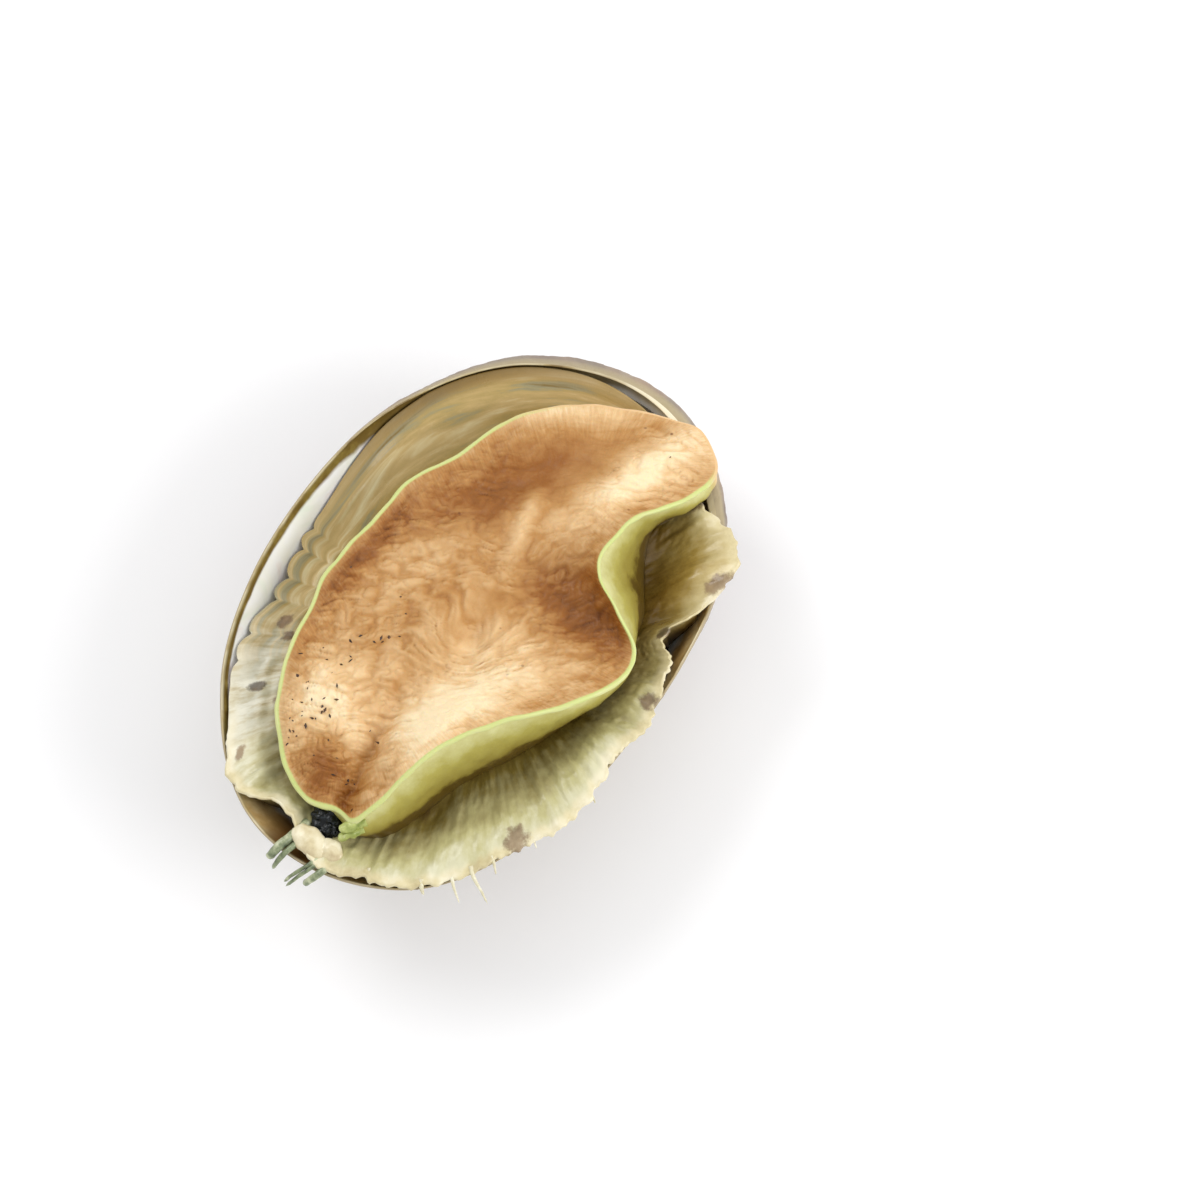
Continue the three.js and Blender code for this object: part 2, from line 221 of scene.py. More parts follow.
LATTICE = np.random.default_rng(11).uniform(-1, 1, (32, 32, 32))


def noise(points, size, seed=0):
    """Value noise from -1 to 1: random numbers on a lattice of that spacing in mm, blended by 3t²-2t³
    along each axis."""
    place = points / size + 5.37 * seed
    corner = np.floor(place).astype(int)
    t = place - corner
    t = t * t * (3 - 2 * t)
    total = 0
    for step in itertools.product((0, 1), repeat=3):
        cell = (corner + step) % 32
        weight = np.prod(np.where(step, t, 1 - t), axis=-1)
        total = total + weight * LATTICE[cell[..., 0], cell[..., 1], cell[..., 2]]
    return total


def rough(points, size, seed=0, octaves=3):
    """Sum of value noises, each half the size and half the height of the one before."""
    return sum(noise(points, size / 2**n, seed + n) / 2**n for n in range(octaves))


def xyz(x, y, z=0.0):
    return np.stack(np.broadcast_arrays(x, y, z), axis=-1)


def out_from(rings):
    """Unit normals of a grid of points that wraps along its columns: cross product of the two central
    differences."""
    across = np.roll(rings, -1, axis=1) - np.roll(rings, 1, axis=1)
    down = np.gradient(rings, axis=0)
    normal = np.cross(across, down)
    return normal / np.maximum(np.linalg.norm(normal, axis=-1, keepdims=True), 1e-9)


def closed_mesh(name, rings, first=None, last=None, seam=False, masks=None, row_finish=None):
    """One closed mesh from rings of points in mm: squares between neighbouring rings and triangles to
    the end poles. With seam, the first ring lies flat on itself and is sewn shut. The sign of the volume
    turns the faces outwards."""
    rows, columns = rings.shape[:2]
    index = np.arange(rows * columns).reshape(rows, columns)
    if seam:
        index[0] = np.minimum(np.arange(columns), (columns - np.arange(columns)) % columns)
    after = np.roll(index, -1, axis=1)
    poles = [pole for pole in (first, last) if pole is not None]
    points = np.concatenate([rings.reshape(-1, 3), np.reshape(poles, (-1, 3))])
    squares = np.stack([index[:-1], index[1:], after[1:], after[:-1]], axis=-1).reshape(-1, 4)
    fans = []
    if first is not None:
        fans.append(np.stack([np.full(columns, rows * columns), index[0], after[0]], axis=-1))
    if last is not None:
        fans.append(np.stack([np.full(columns, len(points) - 1), after[-1], index[-1]], axis=-1))
    fans = np.concatenate(fans) if fans else np.zeros((0, 3), int)
    corners = np.concatenate([squares[:, [0, 1, 2]], squares[:, [0, 2, 3]], fans])
    a, b, c = (points[corners[:, k]] for k in range(3))
    if np.einsum("ij,ij->", np.cross(a, b), c) < 0:
        squares, fans = squares[:, ::-1], fans[:, ::-1]
    used, flat = np.unique(np.concatenate([squares.ravel(), fans.ravel()]), return_inverse=True)
    squares, fans = flat[: squares.size].reshape(-1, 4), flat[squares.size :].reshape(-1, 3)

    mesh = bpy.data.meshes.new(name)
    mesh.from_pydata(((points[used] + MOUTH) / 1000).tolist(), [], squares.tolist() + fans.tolist())
    for mask, values in (masks or {}).items():
        wide = values.ndim == 3
        ends = [values[k].mean(axis=0) for k, pole in ((0, first), (-1, last)) if pole is not None]
        shape = (-1, 3) if wide else (-1,)
        all_values = np.concatenate([values.reshape(shape), np.array(ends).reshape(shape)])
        layer = mesh.attributes.new(mask, "FLOAT_VECTOR" if wide else "FLOAT", "POINT")
        layer.data.foreach_set("vector" if wide else "value", all_values[used].astype(np.float32).ravel())
    if row_finish is not None:
        finishes = [np.repeat(row_finish, columns)]
        finishes += [np.full(columns, row_finish[0])] * (first is not None)
        finishes += [np.full(columns, row_finish[-1])] * (last is not None)
        mesh.polygons.foreach_set("material_index", np.concatenate(finishes).astype(np.int32))
    mesh.shade_smooth()
    mesh.update()
    return mesh


def show(mesh, slot, node, *finishes):
    """Puts a mesh in the scene with its finishes. It rides on the root body, and the node's own solid is
    hidden."""
    piece = bpy.data.objects.new(mesh.name, mesh)
    bpy.context.scene.collection.objects.link(piece)
    for finish in finishes:
        mesh.materials.append(finish)
    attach(piece, "root")
    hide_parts(node)
    return piece


def tubes(name, lines, sides=20, steps=28, bumps=0.0, seed=0):
    """Round rods with closed ends, joined in one mesh. Each follows a Catmull-Rom line through its
    points, and its radius runs evenly from root to tip and closes as a quarter circle over the last
    tenth."""
    meshes = []
    for root, tip, line in lines:
        line = np.array(line, float)
        ends = np.concatenate([[2 * line[0] - line[1]], line, [2 * line[-1] - line[-2]]])
        share = np.linspace(0, 1, steps)
        place = np.minimum(share * (len(line) - 1), len(line) - 1 - 1e-6)
        i = np.floor(place).astype(int)
        t = (place - i)[:, None]
        centre = catmull_rom(*(ends[i + k] for k in range(4)), t)
        along = np.gradient(centre, axis=0)
        along /= np.linalg.norm(along, axis=1, keepdims=True)
        side = np.cross(along, [0.0, 0.0, 1.0])
        side /= np.linalg.norm(side, axis=1, keepdims=True)
        over = np.cross(side, along)
        radius = (root + (tip - root) * share) * np.sqrt(np.clip((1.001 - share) / 0.1, 0.02, 1))
        angle = np.arange(sides) / sides * TAU
        spoke = side[:, None] * np.cos(angle)[None, :, None] + over[:, None] * np.sin(angle)[None, :, None]
        rings = centre[:, None] + spoke * radius[:, None, None]
        rings = rings + spoke * (bumps * noise(rings, 1.1, seed))[..., None]
        end = centre[-1] + along[-1] * tip * 0.3
        masks = {"reach": np.repeat(share[:, None], sides, axis=1)}
        meshes.append(closed_mesh(name, rings, centre[0], end, masks=masks))
    return merge(name, meshes)


def merge(name, meshes):
    """One mesh that holds all of these, which are then dropped."""
    made = bmesh.new()
    for part in meshes:
        made.from_mesh(part)
    mesh = bpy.data.meshes.new(name)
    made.to_mesh(mesh)
    made.free()
    for old in meshes:
        bpy.data.meshes.remove(old)
    mesh.name = name
    mesh.shade_smooth()
    return mesh


# ------------------------------------------------------------------ the bowl of the shell
def rim_radius(angle):
    return around(RIM_RADII, angle / TAU)


def bowl_depth(share):
    """Depth as a share: part of a circle, from RIM_ANGLE at the rim to level at the crown's flat."""
    beyond = np.maximum(0, share**2 - CROWN_FLAT**2) / (1 - CROWN_FLAT**2)
    sine = math.sin(RIM_ANGLE)
    return (np.sqrt(1 - beyond * math.cos(RIM_ANGLE) ** 2) - sine) / (1 - sine)


def bowl_share(depth):
    """The share of the rim radius at which the bowl is that deep: the inverse of bowl_depth."""
    sine = math.sin(RIM_ANGLE) + (1 - math.sin(RIM_ANGLE)) * np.maximum(0, depth)
    return np.sqrt(CROWN_FLAT**2 + (1 - CROWN_FLAT**2) * (1 - sine**2) / math.cos(RIM_ANGLE) ** 2)


def bowl_point(angle, share, inset, floor, overhang):
    """The rim shrunk by share about a centre that slides to the crown, at the bowl's depth there, plus a
    belly under the rim at the spire end: t exp(1 - t) of the depth, times a bell of the angle."""
    depth = bowl_depth(share)
    under = depth / OVERHANG["depth"]
    belly = under * np.exp(1 - under)
    bulge = overhang * bell(angle, OVERHANG["angle"], OVERHANG["spread"]) * belly
    radius = (rim_radius(angle) - inset) * share + bulge
    x = CROWN[0] * (1 - share) + radius * np.cos(angle)
    y = CROWN[1] * (1 - share) + radius * np.sin(angle)
    return xyz(x, y, -(SHELL_DEPTH - floor) * depth)


def outer_point(angle, share):
    """The bowl with the spire's low cap on it: a bell of the distance from the spire, less a ring for
    the suture."""
    point = bowl_point(angle, share, 0, 0, OVERHANG["reach"])
    away = np.hypot(point[..., 0] - SPIRE[0], point[..., 1] - SPIRE[1])
    cap = np.exp(-((away / SPIRE_CAP) ** 2)) - 0.3 * np.exp(-(((away - SUTURE) / (SPIRE_CAP / 2)) ** 2))
    outward = point * [1, 1, 1.5]
    outward /= np.maximum(np.linalg.norm(outward, axis=-1, keepdims=True), 1e-9)
    return point + outward * (SPIRE_RISE * cap)[..., None]


def inner_point(angle, share, clear=0.0):
    """The bowl moved in by the wall, which thins to LIP_EDGE at the rim, with the flat ledge of the
    inner lip standing in from the rim as a bell."""
    lip = np.exp(-(((1 - share) / LEDGE["height"]) ** 2))
    ledge = LEDGE["width"] * bell(angle, LEDGE["angle"], LEDGE["spread"]) * lip
    wall = WALL_AT_RIM + (LIP_EDGE - WALL_AT_RIM) * ramp(share, 0.96, 1.0)
    return bowl_point(angle, share, wall + ledge + clear, WALL_AT_CROWN + clear, OVERHANG["reach"] * 0.8)


def growth_age(points):
    """How many radians ago the growing rim passed each point. A past rim is today's, turned back by t
    about the spire and shrunk by exp(-WHORL_RATE t), so the age is the first t at which ln(distance) +
    WHORL_RATE t reaches ln(rim distance) in the direction turned on by t."""
    turn = np.linspace(0, TAU, 1440, endpoint=False)
    rim = xyz(rim_radius(turn) * np.cos(turn), rim_radius(turn) * np.sin(turn))[:, :2] - SPIRE
    order = np.argsort(np.arctan2(rim[:, 1], rim[:, 0]))
    direction, reach = np.arctan2(rim[:, 1], rim[:, 0])[order], np.log(np.hypot(rim[:, 0], rim[:, 1]))[order]
    away = points[..., :2] - SPIRE
    bearing = np.arctan2(away[..., 1], away[..., 0])
    distance = np.log(np.maximum(np.hypot(away[..., 0], away[..., 1]), 0.05))
    tries = np.linspace(0, TAU, 100)
    seen = (bearing[..., None] + tries + math.pi) % TAU - math.pi
    gap = distance[..., None] + WHORL_RATE * tries - np.interp(seen, direction, reach, period=TAU)
    passed = gap >= 0
    first = np.where(passed.any(axis=-1), passed.argmax(axis=-1), len(tries) - 1)
    last = np.take_along_axis(gap, first[..., None], axis=-1)[..., 0]
    before = np.take_along_axis(gap, np.maximum(first - 1, 0)[..., None], axis=-1)[..., 0]
    part = np.where(first > 0, last / np.maximum(last - before, 1e-9), 0)
    return tries[first] - np.clip(part, 0, 1) * tries[1]


def pore_frame(angle, share):
    """Place, and unit vector out of the wall, of a pore."""
    angle, share = np.array(angle), np.array(share)
    centre = outer_point(angle, share)
    along = outer_point(angle + 0.01, share) - centre
    down = outer_point(angle, share - 0.01) - centre
    normal = np.cross(along, down)
    normal /= np.linalg.norm(normal)
    return centre, normal if normal @ centre > 0 else -normal


def shell_mesh(settings):
    """Inner wall from its pole to the rim, over a rounded lip, and down the outer wall to the crown. The
    outer wall is moved along its normal by growth steps (noise of the age), faint spiral cords, a crust
    and a ring round each pore."""
    columns = 720
    angle = np.arange(columns) / columns * TAU
    depth_in, depth_out = np.linspace(0.985, 0, 40), np.linspace(0, 1, 84)
    inner_shares = np.sqrt(bowl_share(depth_in) ** 2 - CROWN_FLAT**2) / math.sqrt(1 - CROWN_FLAT**2)
    outer_shares = bowl_share(depth_out)
    inner = inner_point(angle, inner_shares[:, None])
    outer = outer_point(angle, outer_shares[:, None])

    ripple = 0.18 * rough(inner, 9, 3)
    calm = ramp(inner_shares[:, None], 1.0, 0.97)
    inner = inner + out_from(inner) * ripple[..., None] * calm[..., None]

    age = growth_age(outer)
    age_mm = age * 34
    about = outer[..., :2] - SPIRE
    cord = (np.arctan2(about[..., 1], about[..., 0]) + age) * 22
    growth = xyz(age_mm, cord * 0.5, outer[..., 2] * 0.05)
    steps = 0.30 * noise(growth, 3.1, 1) + 0.20 * noise(growth, 1.5, 2) + 0.12 * noise(growth, 0.8, 3)
    cords = 0.10 * np.cos(cord * 4.0) * ramp(age, 0.1, 0.5)
    crust = 0.55 * np.maximum(0, rough(outer, 7, 5, 4)) * ramp(age, 0.3, 1.2) + 0.12 * noise(outer, 1.1, 9)
    lift = settings.growth_steps * steps + cords + crust
    for k, (turn, share) in enumerate(PORES + HEALED_PORES):
        centre, _ = pore_frame(turn, share)
        away = np.linalg.norm(outer - centre, axis=-1)
        ring = np.exp(-(((away - 1.9) / 1.1) ** 2)) if k < len(PORES) else np.exp(-((away / 2.1) ** 2))
        lift = lift + (1.0 if k < len(PORES) else 0.8 - 0.07 * (k - len(PORES))) * ring
    near_rim = ramp(np.arange(len(depth_out)), 0, 4)[:, None]
    outward = out_from(outer)
    outward = outward * np.sign(np.sum(outward * outer, axis=-1, keepdims=True))
    outer = outer + outward * (lift * near_rim)[..., None]
    outer[..., 2] = np.maximum(outer[..., 2], -SHELL_DEPTH)

    # The lip: half a turn from the inner wall to the outer one, thinned towards the outside.
    half = np.linspace(0, math.pi, 9)[1:-1, None]
    blend = ((1 - np.cos(half)) / 2)[..., None]
    lip = inner[-1] * (1 - blend) + outer[0] * blend
    lip[..., 2] += 0.3 * np.sin(half) + 0.12 * noise(lip, 2.3, 4)
    rings = np.concatenate([inner, lip, outer])
    circle = xyz(30 * np.cos(angle), 30 * np.sin(angle))
    wave = 0.45 * np.sin(5 * angle + 0.6) + 0.3 * np.sin(9 * angle + 2) + 0.25 * noise(circle, 5, 8)
    rim_share = np.concatenate([inner_shares, np.ones(len(lip)), outer_shares])
    rings[..., 2] += wave * (ramp(rim_share, 0.9, 1.0) * 0.8)[:, None]

    below = np.concatenate([np.abs(inner[..., 2]), np.zeros(lip.shape[:2]), np.abs(outer[..., 2])])
    turn = np.repeat(angle[None], len(rings), axis=0)
    ledge = bell(turn, math.radians(-2), math.radians(15)) * ramp(below, 9, 2)
    ages = np.concatenate([np.zeros(inner.shape[:2]), np.zeros(lip.shape[:2]), age])
    # The olive margin inside the rim, in mm: narrow on the pore side and wide at the growing end.
    margin = np.full(turn.shape, 1.8)
    for width, middle, spread in ((11, 188, 20), (9, 305, 45), (5, 45, 38)):
        margin = margin + width * bell(turn, math.radians(middle), math.radians(spread))
    grow = np.concatenate([np.zeros(inner.shape), np.zeros(lip.shape), growth])
    masks = {"below_rim": below, "ledge": ledge, "age": ages, "margin": margin, "growth": grow / 1000}
    # The inside's finish runs to the top of the lip.
    finish = np.ones(len(rings) - 1, int)
    finish[: len(inner) + 3] = 0
    return closed_mesh(
        "spiral_shell", rings, inner_point(0.0, 0.0), outer_point(0.0, 0.0), masks=masks, row_finish=finish,
    )


def pore_cutters(settings):
    """Round rods square to the wall, one to each open pore. The faces they cut take the outside's finish."""
    cutters = []
    for turn, share in PORES:
        centre, normal = pore_frame(turn, share)
        root, tip = centre - normal * 8, centre + normal * 6
        cutters.append((settings.pore_radius, settings.pore_radius, [root, centre, tip]))
    rods = tubes("pore_cutters", cutters, sides=28, steps=12)
    rods.polygons.foreach_set("material_index", np.ones(len(rods.polygons), np.int32))
    below = rods.attributes.new("below_rim", "FLOAT", "POINT")
    below.data.foreach_set("value", np.full(len(rods.vertices), SHELL_DEPTH / 2, np.float32))
    return rods


# ------------------------------------------------------------------ the foot
def station_share(share):
    """Half of the turn goes to the stations on the pore side, and half to the others."""
    total = len(SOLE_EDGE)
    pore_side = share * 2 * STATIONS_ON_PORE_SIDE
    open_side = STATIONS_ON_PORE_SIDE + (share - 0.5) * 2 * (total - STATIONS_ON_PORE_SIDE)
    return np.where(share < 0.5, pore_side, open_side) / total


def sole_edge(share):
    """The sole's edge, with a slow waver of half a millimetre."""
    edge = around(SOLE_EDGE, station_share(share))
    return edge + 0.6 * np.stack([noise(edge, 7, k) for k in (1, 2, 3)], axis=-1) * [1, 1, 0.8]


def sole_features(x, y):
    """Lift in mm and tone, partly stain and partly painted light and shade, each the sum of turned bells
    exp(-(u/length)² - (v/width)²).
    """
    lift, stain_and_shade = np.zeros(x.shape), np.zeros(x.shape)
    for cx, cy, length, width, turn, height, dark in SOLE_FEATURES:
        c, s = math.cos(math.radians(turn)), math.sin(math.radians(turn))
        u, v = (x - cx) * c + (y - cy) * s, (y - cy) * c - (x - cx) * s
        weight = np.exp(-((u / length) ** 2) - (v / width) ** 2)
        lift, stain_and_shade = lift + height * weight, stain_and_shade + dark * weight
    return lift, stain_and_shade


def creases(x, y):
    """Creases of the skin, 0 to 1: valleys where a noise crosses zero. The noise is stretched along the
    foot's breadth and bent by a slow noise, and near the whorl its lines close into rings."""
    flat = xyz(x, y)
    bend = 2.5 * noise(flat, 11, 4) + 1.0 * noise(flat, 4, 5)
    along = 0.68 * x - 0.73 * y + 1.5 * noise(flat, 6, 8)
    across = 0.73 * x + 0.68 * y + bend
    whorl = np.hypot(x + 5, (y + 6) * 1.2)
    near = np.exp(-((whorl / 9) ** 2))
    across = across * (1 - near) + whorl * near
    wide = np.maximum(0, 1 - np.abs(noise(xyz(along / 2.6, across), 2.3, 6)) * 2.4)
    fine = np.maximum(0, 1 - np.abs(noise(xyz(along / 1.7, across), 1.0, 7)) * 2.4)
    return wide, fine


def sole_point(share, v, depth):
    """A point between the spine and the edge: height by v², then the sole's swellings, then its creases."""
    edge = sole_edge(share)
    spine = xyz(SPINE_X + SPINE_HALF * np.cos(share * TAU), SPINE_Y, SPINE_HEIGHT)
    point = spine + (edge - spine) * v[..., None]
    x, y = point[..., 0], point[..., 1]
    lift, stain_and_shade = sole_features(x, y)
    wide, fine = creases(x, y)
    # Stretched skin has shallower creases: towards the spire end, and on the swelling of the open side.
    calm = 1 - 0.8 * np.exp(-(((x - 48) / 26) ** 2) - ((y - 8) / 17) ** 2)
    calm = calm - 0.45 * np.exp(-(((x + 24) / 12) ** 2) - ((y + 16) / 8) ** 2)
    fade = ramp(v, 1.0, 0.88)
    slow = 0.5 * noise(xyz(x, y), 9, 12) + 0.25 * noise(xyz(x, y), 4, 13)
    relief = lift + slow - depth * calm * (0.34 * wide + 0.30 * fine)
    height = SPINE_HEIGHT + (edge[..., 2] - SPINE_HEIGHT) * v**2
    point[..., 2] = height + fade * relief + (1 - fade) * 0.3 * lift
    # The third value marks the creases, where the colour takes painted shade.
    return point, stain_and_shade, calm * (0.6 * wide + 0.4 * fine) * fade


def foot_mesh(settings):
    """Sole from its sewn spine to the edge, a round bead for the lip, the side of the foot down to its
    base, and a closed underside. The side swells as sin and gathers in slow upright folds."""
    columns = 620
    share = np.arange(columns) / columns
    v = (1 - (1 - np.linspace(0, 1, 112)) ** 1.25)[:, None] * np.ones(columns)
    turn = np.repeat(share[None], len(v), axis=0)
    sole, stain_and_shade, crease_shade = sole_point(turn, v, settings.crease_depth)
    edge, base = sole[-1], around(FOOT_BASE, station_share(share))
    run = np.roll(edge, -2, axis=0) - np.roll(edge, 2, axis=0)
    outward = xyz(run[:, 1], -run[:, 0])
    outward /= np.linalg.norm(outward, axis=-1, keepdims=True)
    outward *= np.sign(np.sum(outward * (edge - [SPINE_X, SPINE_Y, 0]), axis=-1, keepdims=True).sum())
    bead = settings.lip_width / 2 * (1 + 0.25 * noise(edge, 3, 3))[:, None]
    quarter = np.linspace(0, math.pi, 10)[1:, None, None]
    lip = edge + outward * bead * np.sin(quarter) + xyz(0, 0, 1) * bead * (np.cos(quarter) - 1)
    w = np.linspace(0, 1, 30)[1:, None, None]
    start = lip[-1]
    side = start + (base - start) * w
    folds = 0.5 * noise(xyz(share * 330, 0, 0) + w * [0, 6, 0], 5, 6) + 0.25 * noise(side, 2.2, 2)
    swell = 1.6 * np.sin(math.pi * w[..., 0]) + folds * np.sin(math.pi * w[..., 0])
    side = side + outward * swell[..., None]
    under = np.stack([base * [0.8, 0.8, 1] - [0, 0, 4], base * [0.4, 0.4, 1] - [0, 0, 7]])
    rings = np.concatenate([sole, lip, side, under])
    rows = len(rings)

    from_edge = np.concatenate([np.linalg.norm(sole - edge, axis=-1), np.zeros((rows - len(sole), columns))])
    down = np.repeat(np.linspace(0, 1, rows - len(v))[:, None], columns, axis=1)
    down_side = np.concatenate([np.zeros(v.shape), down])
    pad = np.zeros((rows - len(v), columns))
    green = ramp(share, 0.10, 0.19) * ramp(share, 0.99, 0.955)
    circle = share * TAU
    fibre = xyz(55 * np.cos(circle), 55 * np.sin(circle), from_edge * 0.16)
    masks = {
        "stain_and_shade": np.concatenate([stain_and_shade, pad]),
        "crease_shade": np.concatenate([crease_shade, pad]),
        "from_edge": from_edge,
        "down_side": down_side,
        "fibre": fibre / 1000,
        "green": np.repeat(green[None], rows, axis=0),
    }
    finish = np.ones(rows - 1, int)
    finish[: len(sole) - 1] = 0
    return closed_mesh(
        "foot", rings, last=np.array([0.0, -2, -16]), seam=True, masks=masks, row_finish=finish,
    )


# ------------------------------------------------------------------ the mantle
def mantle_mesh(settings):
    """A sheet round the foot, worked out by angle: from a pole under the foot out to where it meets the
    foot, up to its frilled edge, round a thick bead, and back down the bowl clear of the wall."""
    columns = 760
    angle = np.arange(columns) / columns * TAU
    turn = angle / TAU
    # 1 on the pore side, where the sheet lines the bowl, and 0 on the open side, where it is a skirt.
    lining = ramp(np.sin(angle - math.radians(-14)), -0.05, 0.25)
    lining = lining * ramp(np.sin(math.radians(168) - angle), -0.05, 0.15)
    circle = xyz(60 * np.cos(angle), 60 * np.sin(angle))
    frill = 0.7 * noise(circle, 3.4, 1) + 0.75 * noise(circle, 1.5, 2) + 0.45 * noise(circle, 0.8, 3)
    frill = (1 - lining) * frill
    scalloped = ramp(angle, math.radians(92), math.radians(104))
    scalloped = scalloped * ramp(angle, math.radians(152), math.radians(140))
    scallop = (np.abs(np.sin(angle * 20 + 0.9 * noise(circle, 9, 5))) ** 0.6 - 0.75) * scalloped
    waver = 0.9 * noise(circle, 6, 7) + 0.4 * noise(circle, 2.5, 8)
    height = around(MANTLE_HEIGHT, turn) + (1 - lining) * waver
    radius = rim_radius(angle) * around(MANTLE_REACH, turn) + settings.frill * frill
    bead = 0.65 + 0.22 * (1 - lining) * noise(circle, 1.7, 9) - 0.4 * lining
    depth_here = (2 * bead + 0.4 - height) / (SHELL_DEPTH - WALL_AT_CROWN)
    wall = np.hypot(*inner_point(angle, bowl_share(depth_here), EDGE_GAP)[..., :2].T) - bead
    spread = ramp(radius - wall, -1.5, 1.5) * (1 - lining)
    height = height + (np.maximum(height, 2 * bead + 1.8) - height) * spread
    over = ramp(height - 2 * bead, 0.1, 1.1)
    radius = wall + np.minimum(radius - wall, 0) + np.maximum(radius - wall, 0) * over * (1 - lining)
    radius = radius + 2.2 * scallop

    meet = around(MANTLE_MEET, turn) * rim_radius(angle)
    floor = around(MANTLE_FLOOR, turn)
    v = np.linspace(0, 1, 84)[:, None]
    far = meet + (radius - meet) * v
    # Where the sheet spreads over the rim it is at full height from the knee, just inside the rim, outwards.
    knee = np.clip((rim_radius(angle) - 4.0 - meet) / (radius - meet), 0.4, 0.95)
    rise = v ** (1.25 + 0.35 * (1 - lining)) * (1 - spread) + ramp(v, 0, knee) * spread
    sheet = xyz(far * np.cos(angle), far * np.sin(angle), floor + (height - floor) * rise)
    loose = ramp(v, 0.0, 0.3) * ramp(v, 1.0, 0.72)
    ray = xyz(60 * np.cos(angle), 60 * np.sin(angle), v * 7)
    pleats = 0.9 * noise(ray, 5.5, 11) + 0.45 * noise(ray, 2.2, 12) + 0.25 * noise(ray * [1, 1, 2], 1.1, 14)
    bands = 0.5 * noise(xyz(v * 22, 60 * turn * 0.6, 0) + circle * 0.03, 2.0, 13)
    gill = bell(angle, math.radians(152), math.radians(17)) * ramp(v, 0.05, 0.3)
    lobes = 1.5 * np.abs(noise(xyz(60 * np.cos(angle), 60 * np.sin(angle), v * 16), 7, 21)) * gill
    # A ridge, the furrow beside it and a wide dip, in the skirt by the spire end.
    ridge = 2.6 * bell(angle, math.radians(323), math.radians(4))
    ridge = ridge - 2.4 * bell(angle, math.radians(316), math.radians(3))
    dip = 2.5 * bell(angle, math.radians(331), math.radians(8)) * np.sin(math.pi * v)
    ridge = ridge * ramp(v, 0.2, 0.6) - dip
    sheet[..., 2] += loose * ((1 - lining) * pleats + lining * bands + ridge) + lobes
    curl = (1 - lining) * ramp(v, 0.8, 1.0) * 0.9 * noise(circle, 4.5, 15)
    sheet[..., 2] += curl * 0.6

    outward = xyz(np.cos(angle), np.sin(angle))
    arc = np.linspace(0, math.pi, 9)[1:, None, None]
    edge = sheet[-1]
    lip = edge + bead[:, None] * (outward * np.sin(arc) + xyz(0, 0, 1) * (np.cos(arc) - 1))
    # The underside follows the sheet back to the knee, then drops down the bowl.
    row = (1 - (1 - knee) * np.array([[0.35], [0.7], [1.0]])) * (len(v) - 1)
    lower, part = np.floor(row).astype(int), (row % 1.0)[..., None]
    every = np.arange(columns)
    back = sheet[lower, every] * (1 - part) + sheet[lower + 1, every] * part
    back[..., 2] -= 2 * bead
    start = bowl_share((UNDER_GAP - back[-1, :, 2]) / (SHELL_DEPTH - WALL_AT_CROWN))
    beside = (np.hypot(back[-1, :, 0], back[-1, :, 1]) + 1) / (rim_radius(angle) - WALL_AT_RIM - UNDER_GAP)
    start = np.minimum(start, beside)
    shrinks = (0.985, 0.95, 0.88, 0.78, 0.65, 0.5, 0.32, 0.16)
    hollow = np.stack([inner_point(angle, start * shrink, UNDER_GAP) for shrink in shrinks])
    shares = np.linspace(0.15, 1, 6)[:-1, None]
    inside = xyz(meet * shares * np.cos(angle), meet * shares * np.sin(angle), floor - 0.5)
    rings = np.concatenate([inside, sheet, lip, back, hollow])

    before, fold = np.zeros((len(inside), columns)), np.ones((len(lip) + len(back), columns))
    # The hollow underneath takes reach 0 and no lining, so it gets the skirt's darkest colour: painted shade.
    under = np.zeros((len(hollow), columns))
    reach = np.concatenate([before, np.repeat(v, columns, axis=1), fold, under])
    to_go = np.repeat(1 - v, columns, axis=1) * (radius - meet)
    to_edge = np.concatenate([before + 20, to_go, fold * 0, under + 20])
    lined = np.repeat(lining[None], len(rings), axis=0)
    lined[-len(hollow) :] = 0
    flat_angle = np.repeat(angle[None], len(rings), axis=0)
    patch = np.zeros(flat_angle.shape)
    for place, out, width, size in MANTLE_PATCHES:
        spot = bell(flat_angle, math.radians(place), math.radians(width))
        patch = np.maximum(patch, spot * np.exp(-(((reach - out) / size) ** 2)))
    masks = {
        "reach": reach, "to_edge": to_edge, "lining": lined, "patch": patch,
        "gill": bell(flat_angle, math.radians(153), math.radians(17)) * ramp(reach, 0.0, 0.35),
        "spire_end": bell(flat_angle, math.radians(325), math.radians(32)),
        "olive_edge": bell(flat_angle, math.radians(48), math.radians(36)) * ramp(to_edge, 4.5, 1.2),
        "pleat": xyz(60 * np.cos(flat_angle), 60 * np.sin(flat_angle), reach * 7) / 1000,
    }
    bottom = inner_point(0.0, 0.0, UNDER_GAP)
    return closed_mesh("mantle", rings, np.array([0.0, 0, -14]), bottom, masks=masks)


# ------------------------------------------------------------------ small pieces
def lump(name, centre, radii, bumps, size, seed, columns=64, rows=40):
    """An ellipsoid that swells with noise, for the mouth and the mantle's flap."""
    polar = np.linspace(0, math.pi, rows + 2)[1:-1, None]
    angle = np.arange(columns) / columns * TAU
    unit = xyz(np.sin(polar) * np.cos(angle), np.sin(polar) * np.sin(angle), np.cos(polar))
    points = unit * radii
    swell = 1 + bumps * np.abs(noise(points, size, seed))
    swell = swell - bumps * 0.6 * np.abs(noise(points, size * 0.5, seed + 1))
    points = points * swell[..., None] + centre
    return closed_mesh(name, points, points[0].mean(axis=0), points[-1].mean(axis=0))


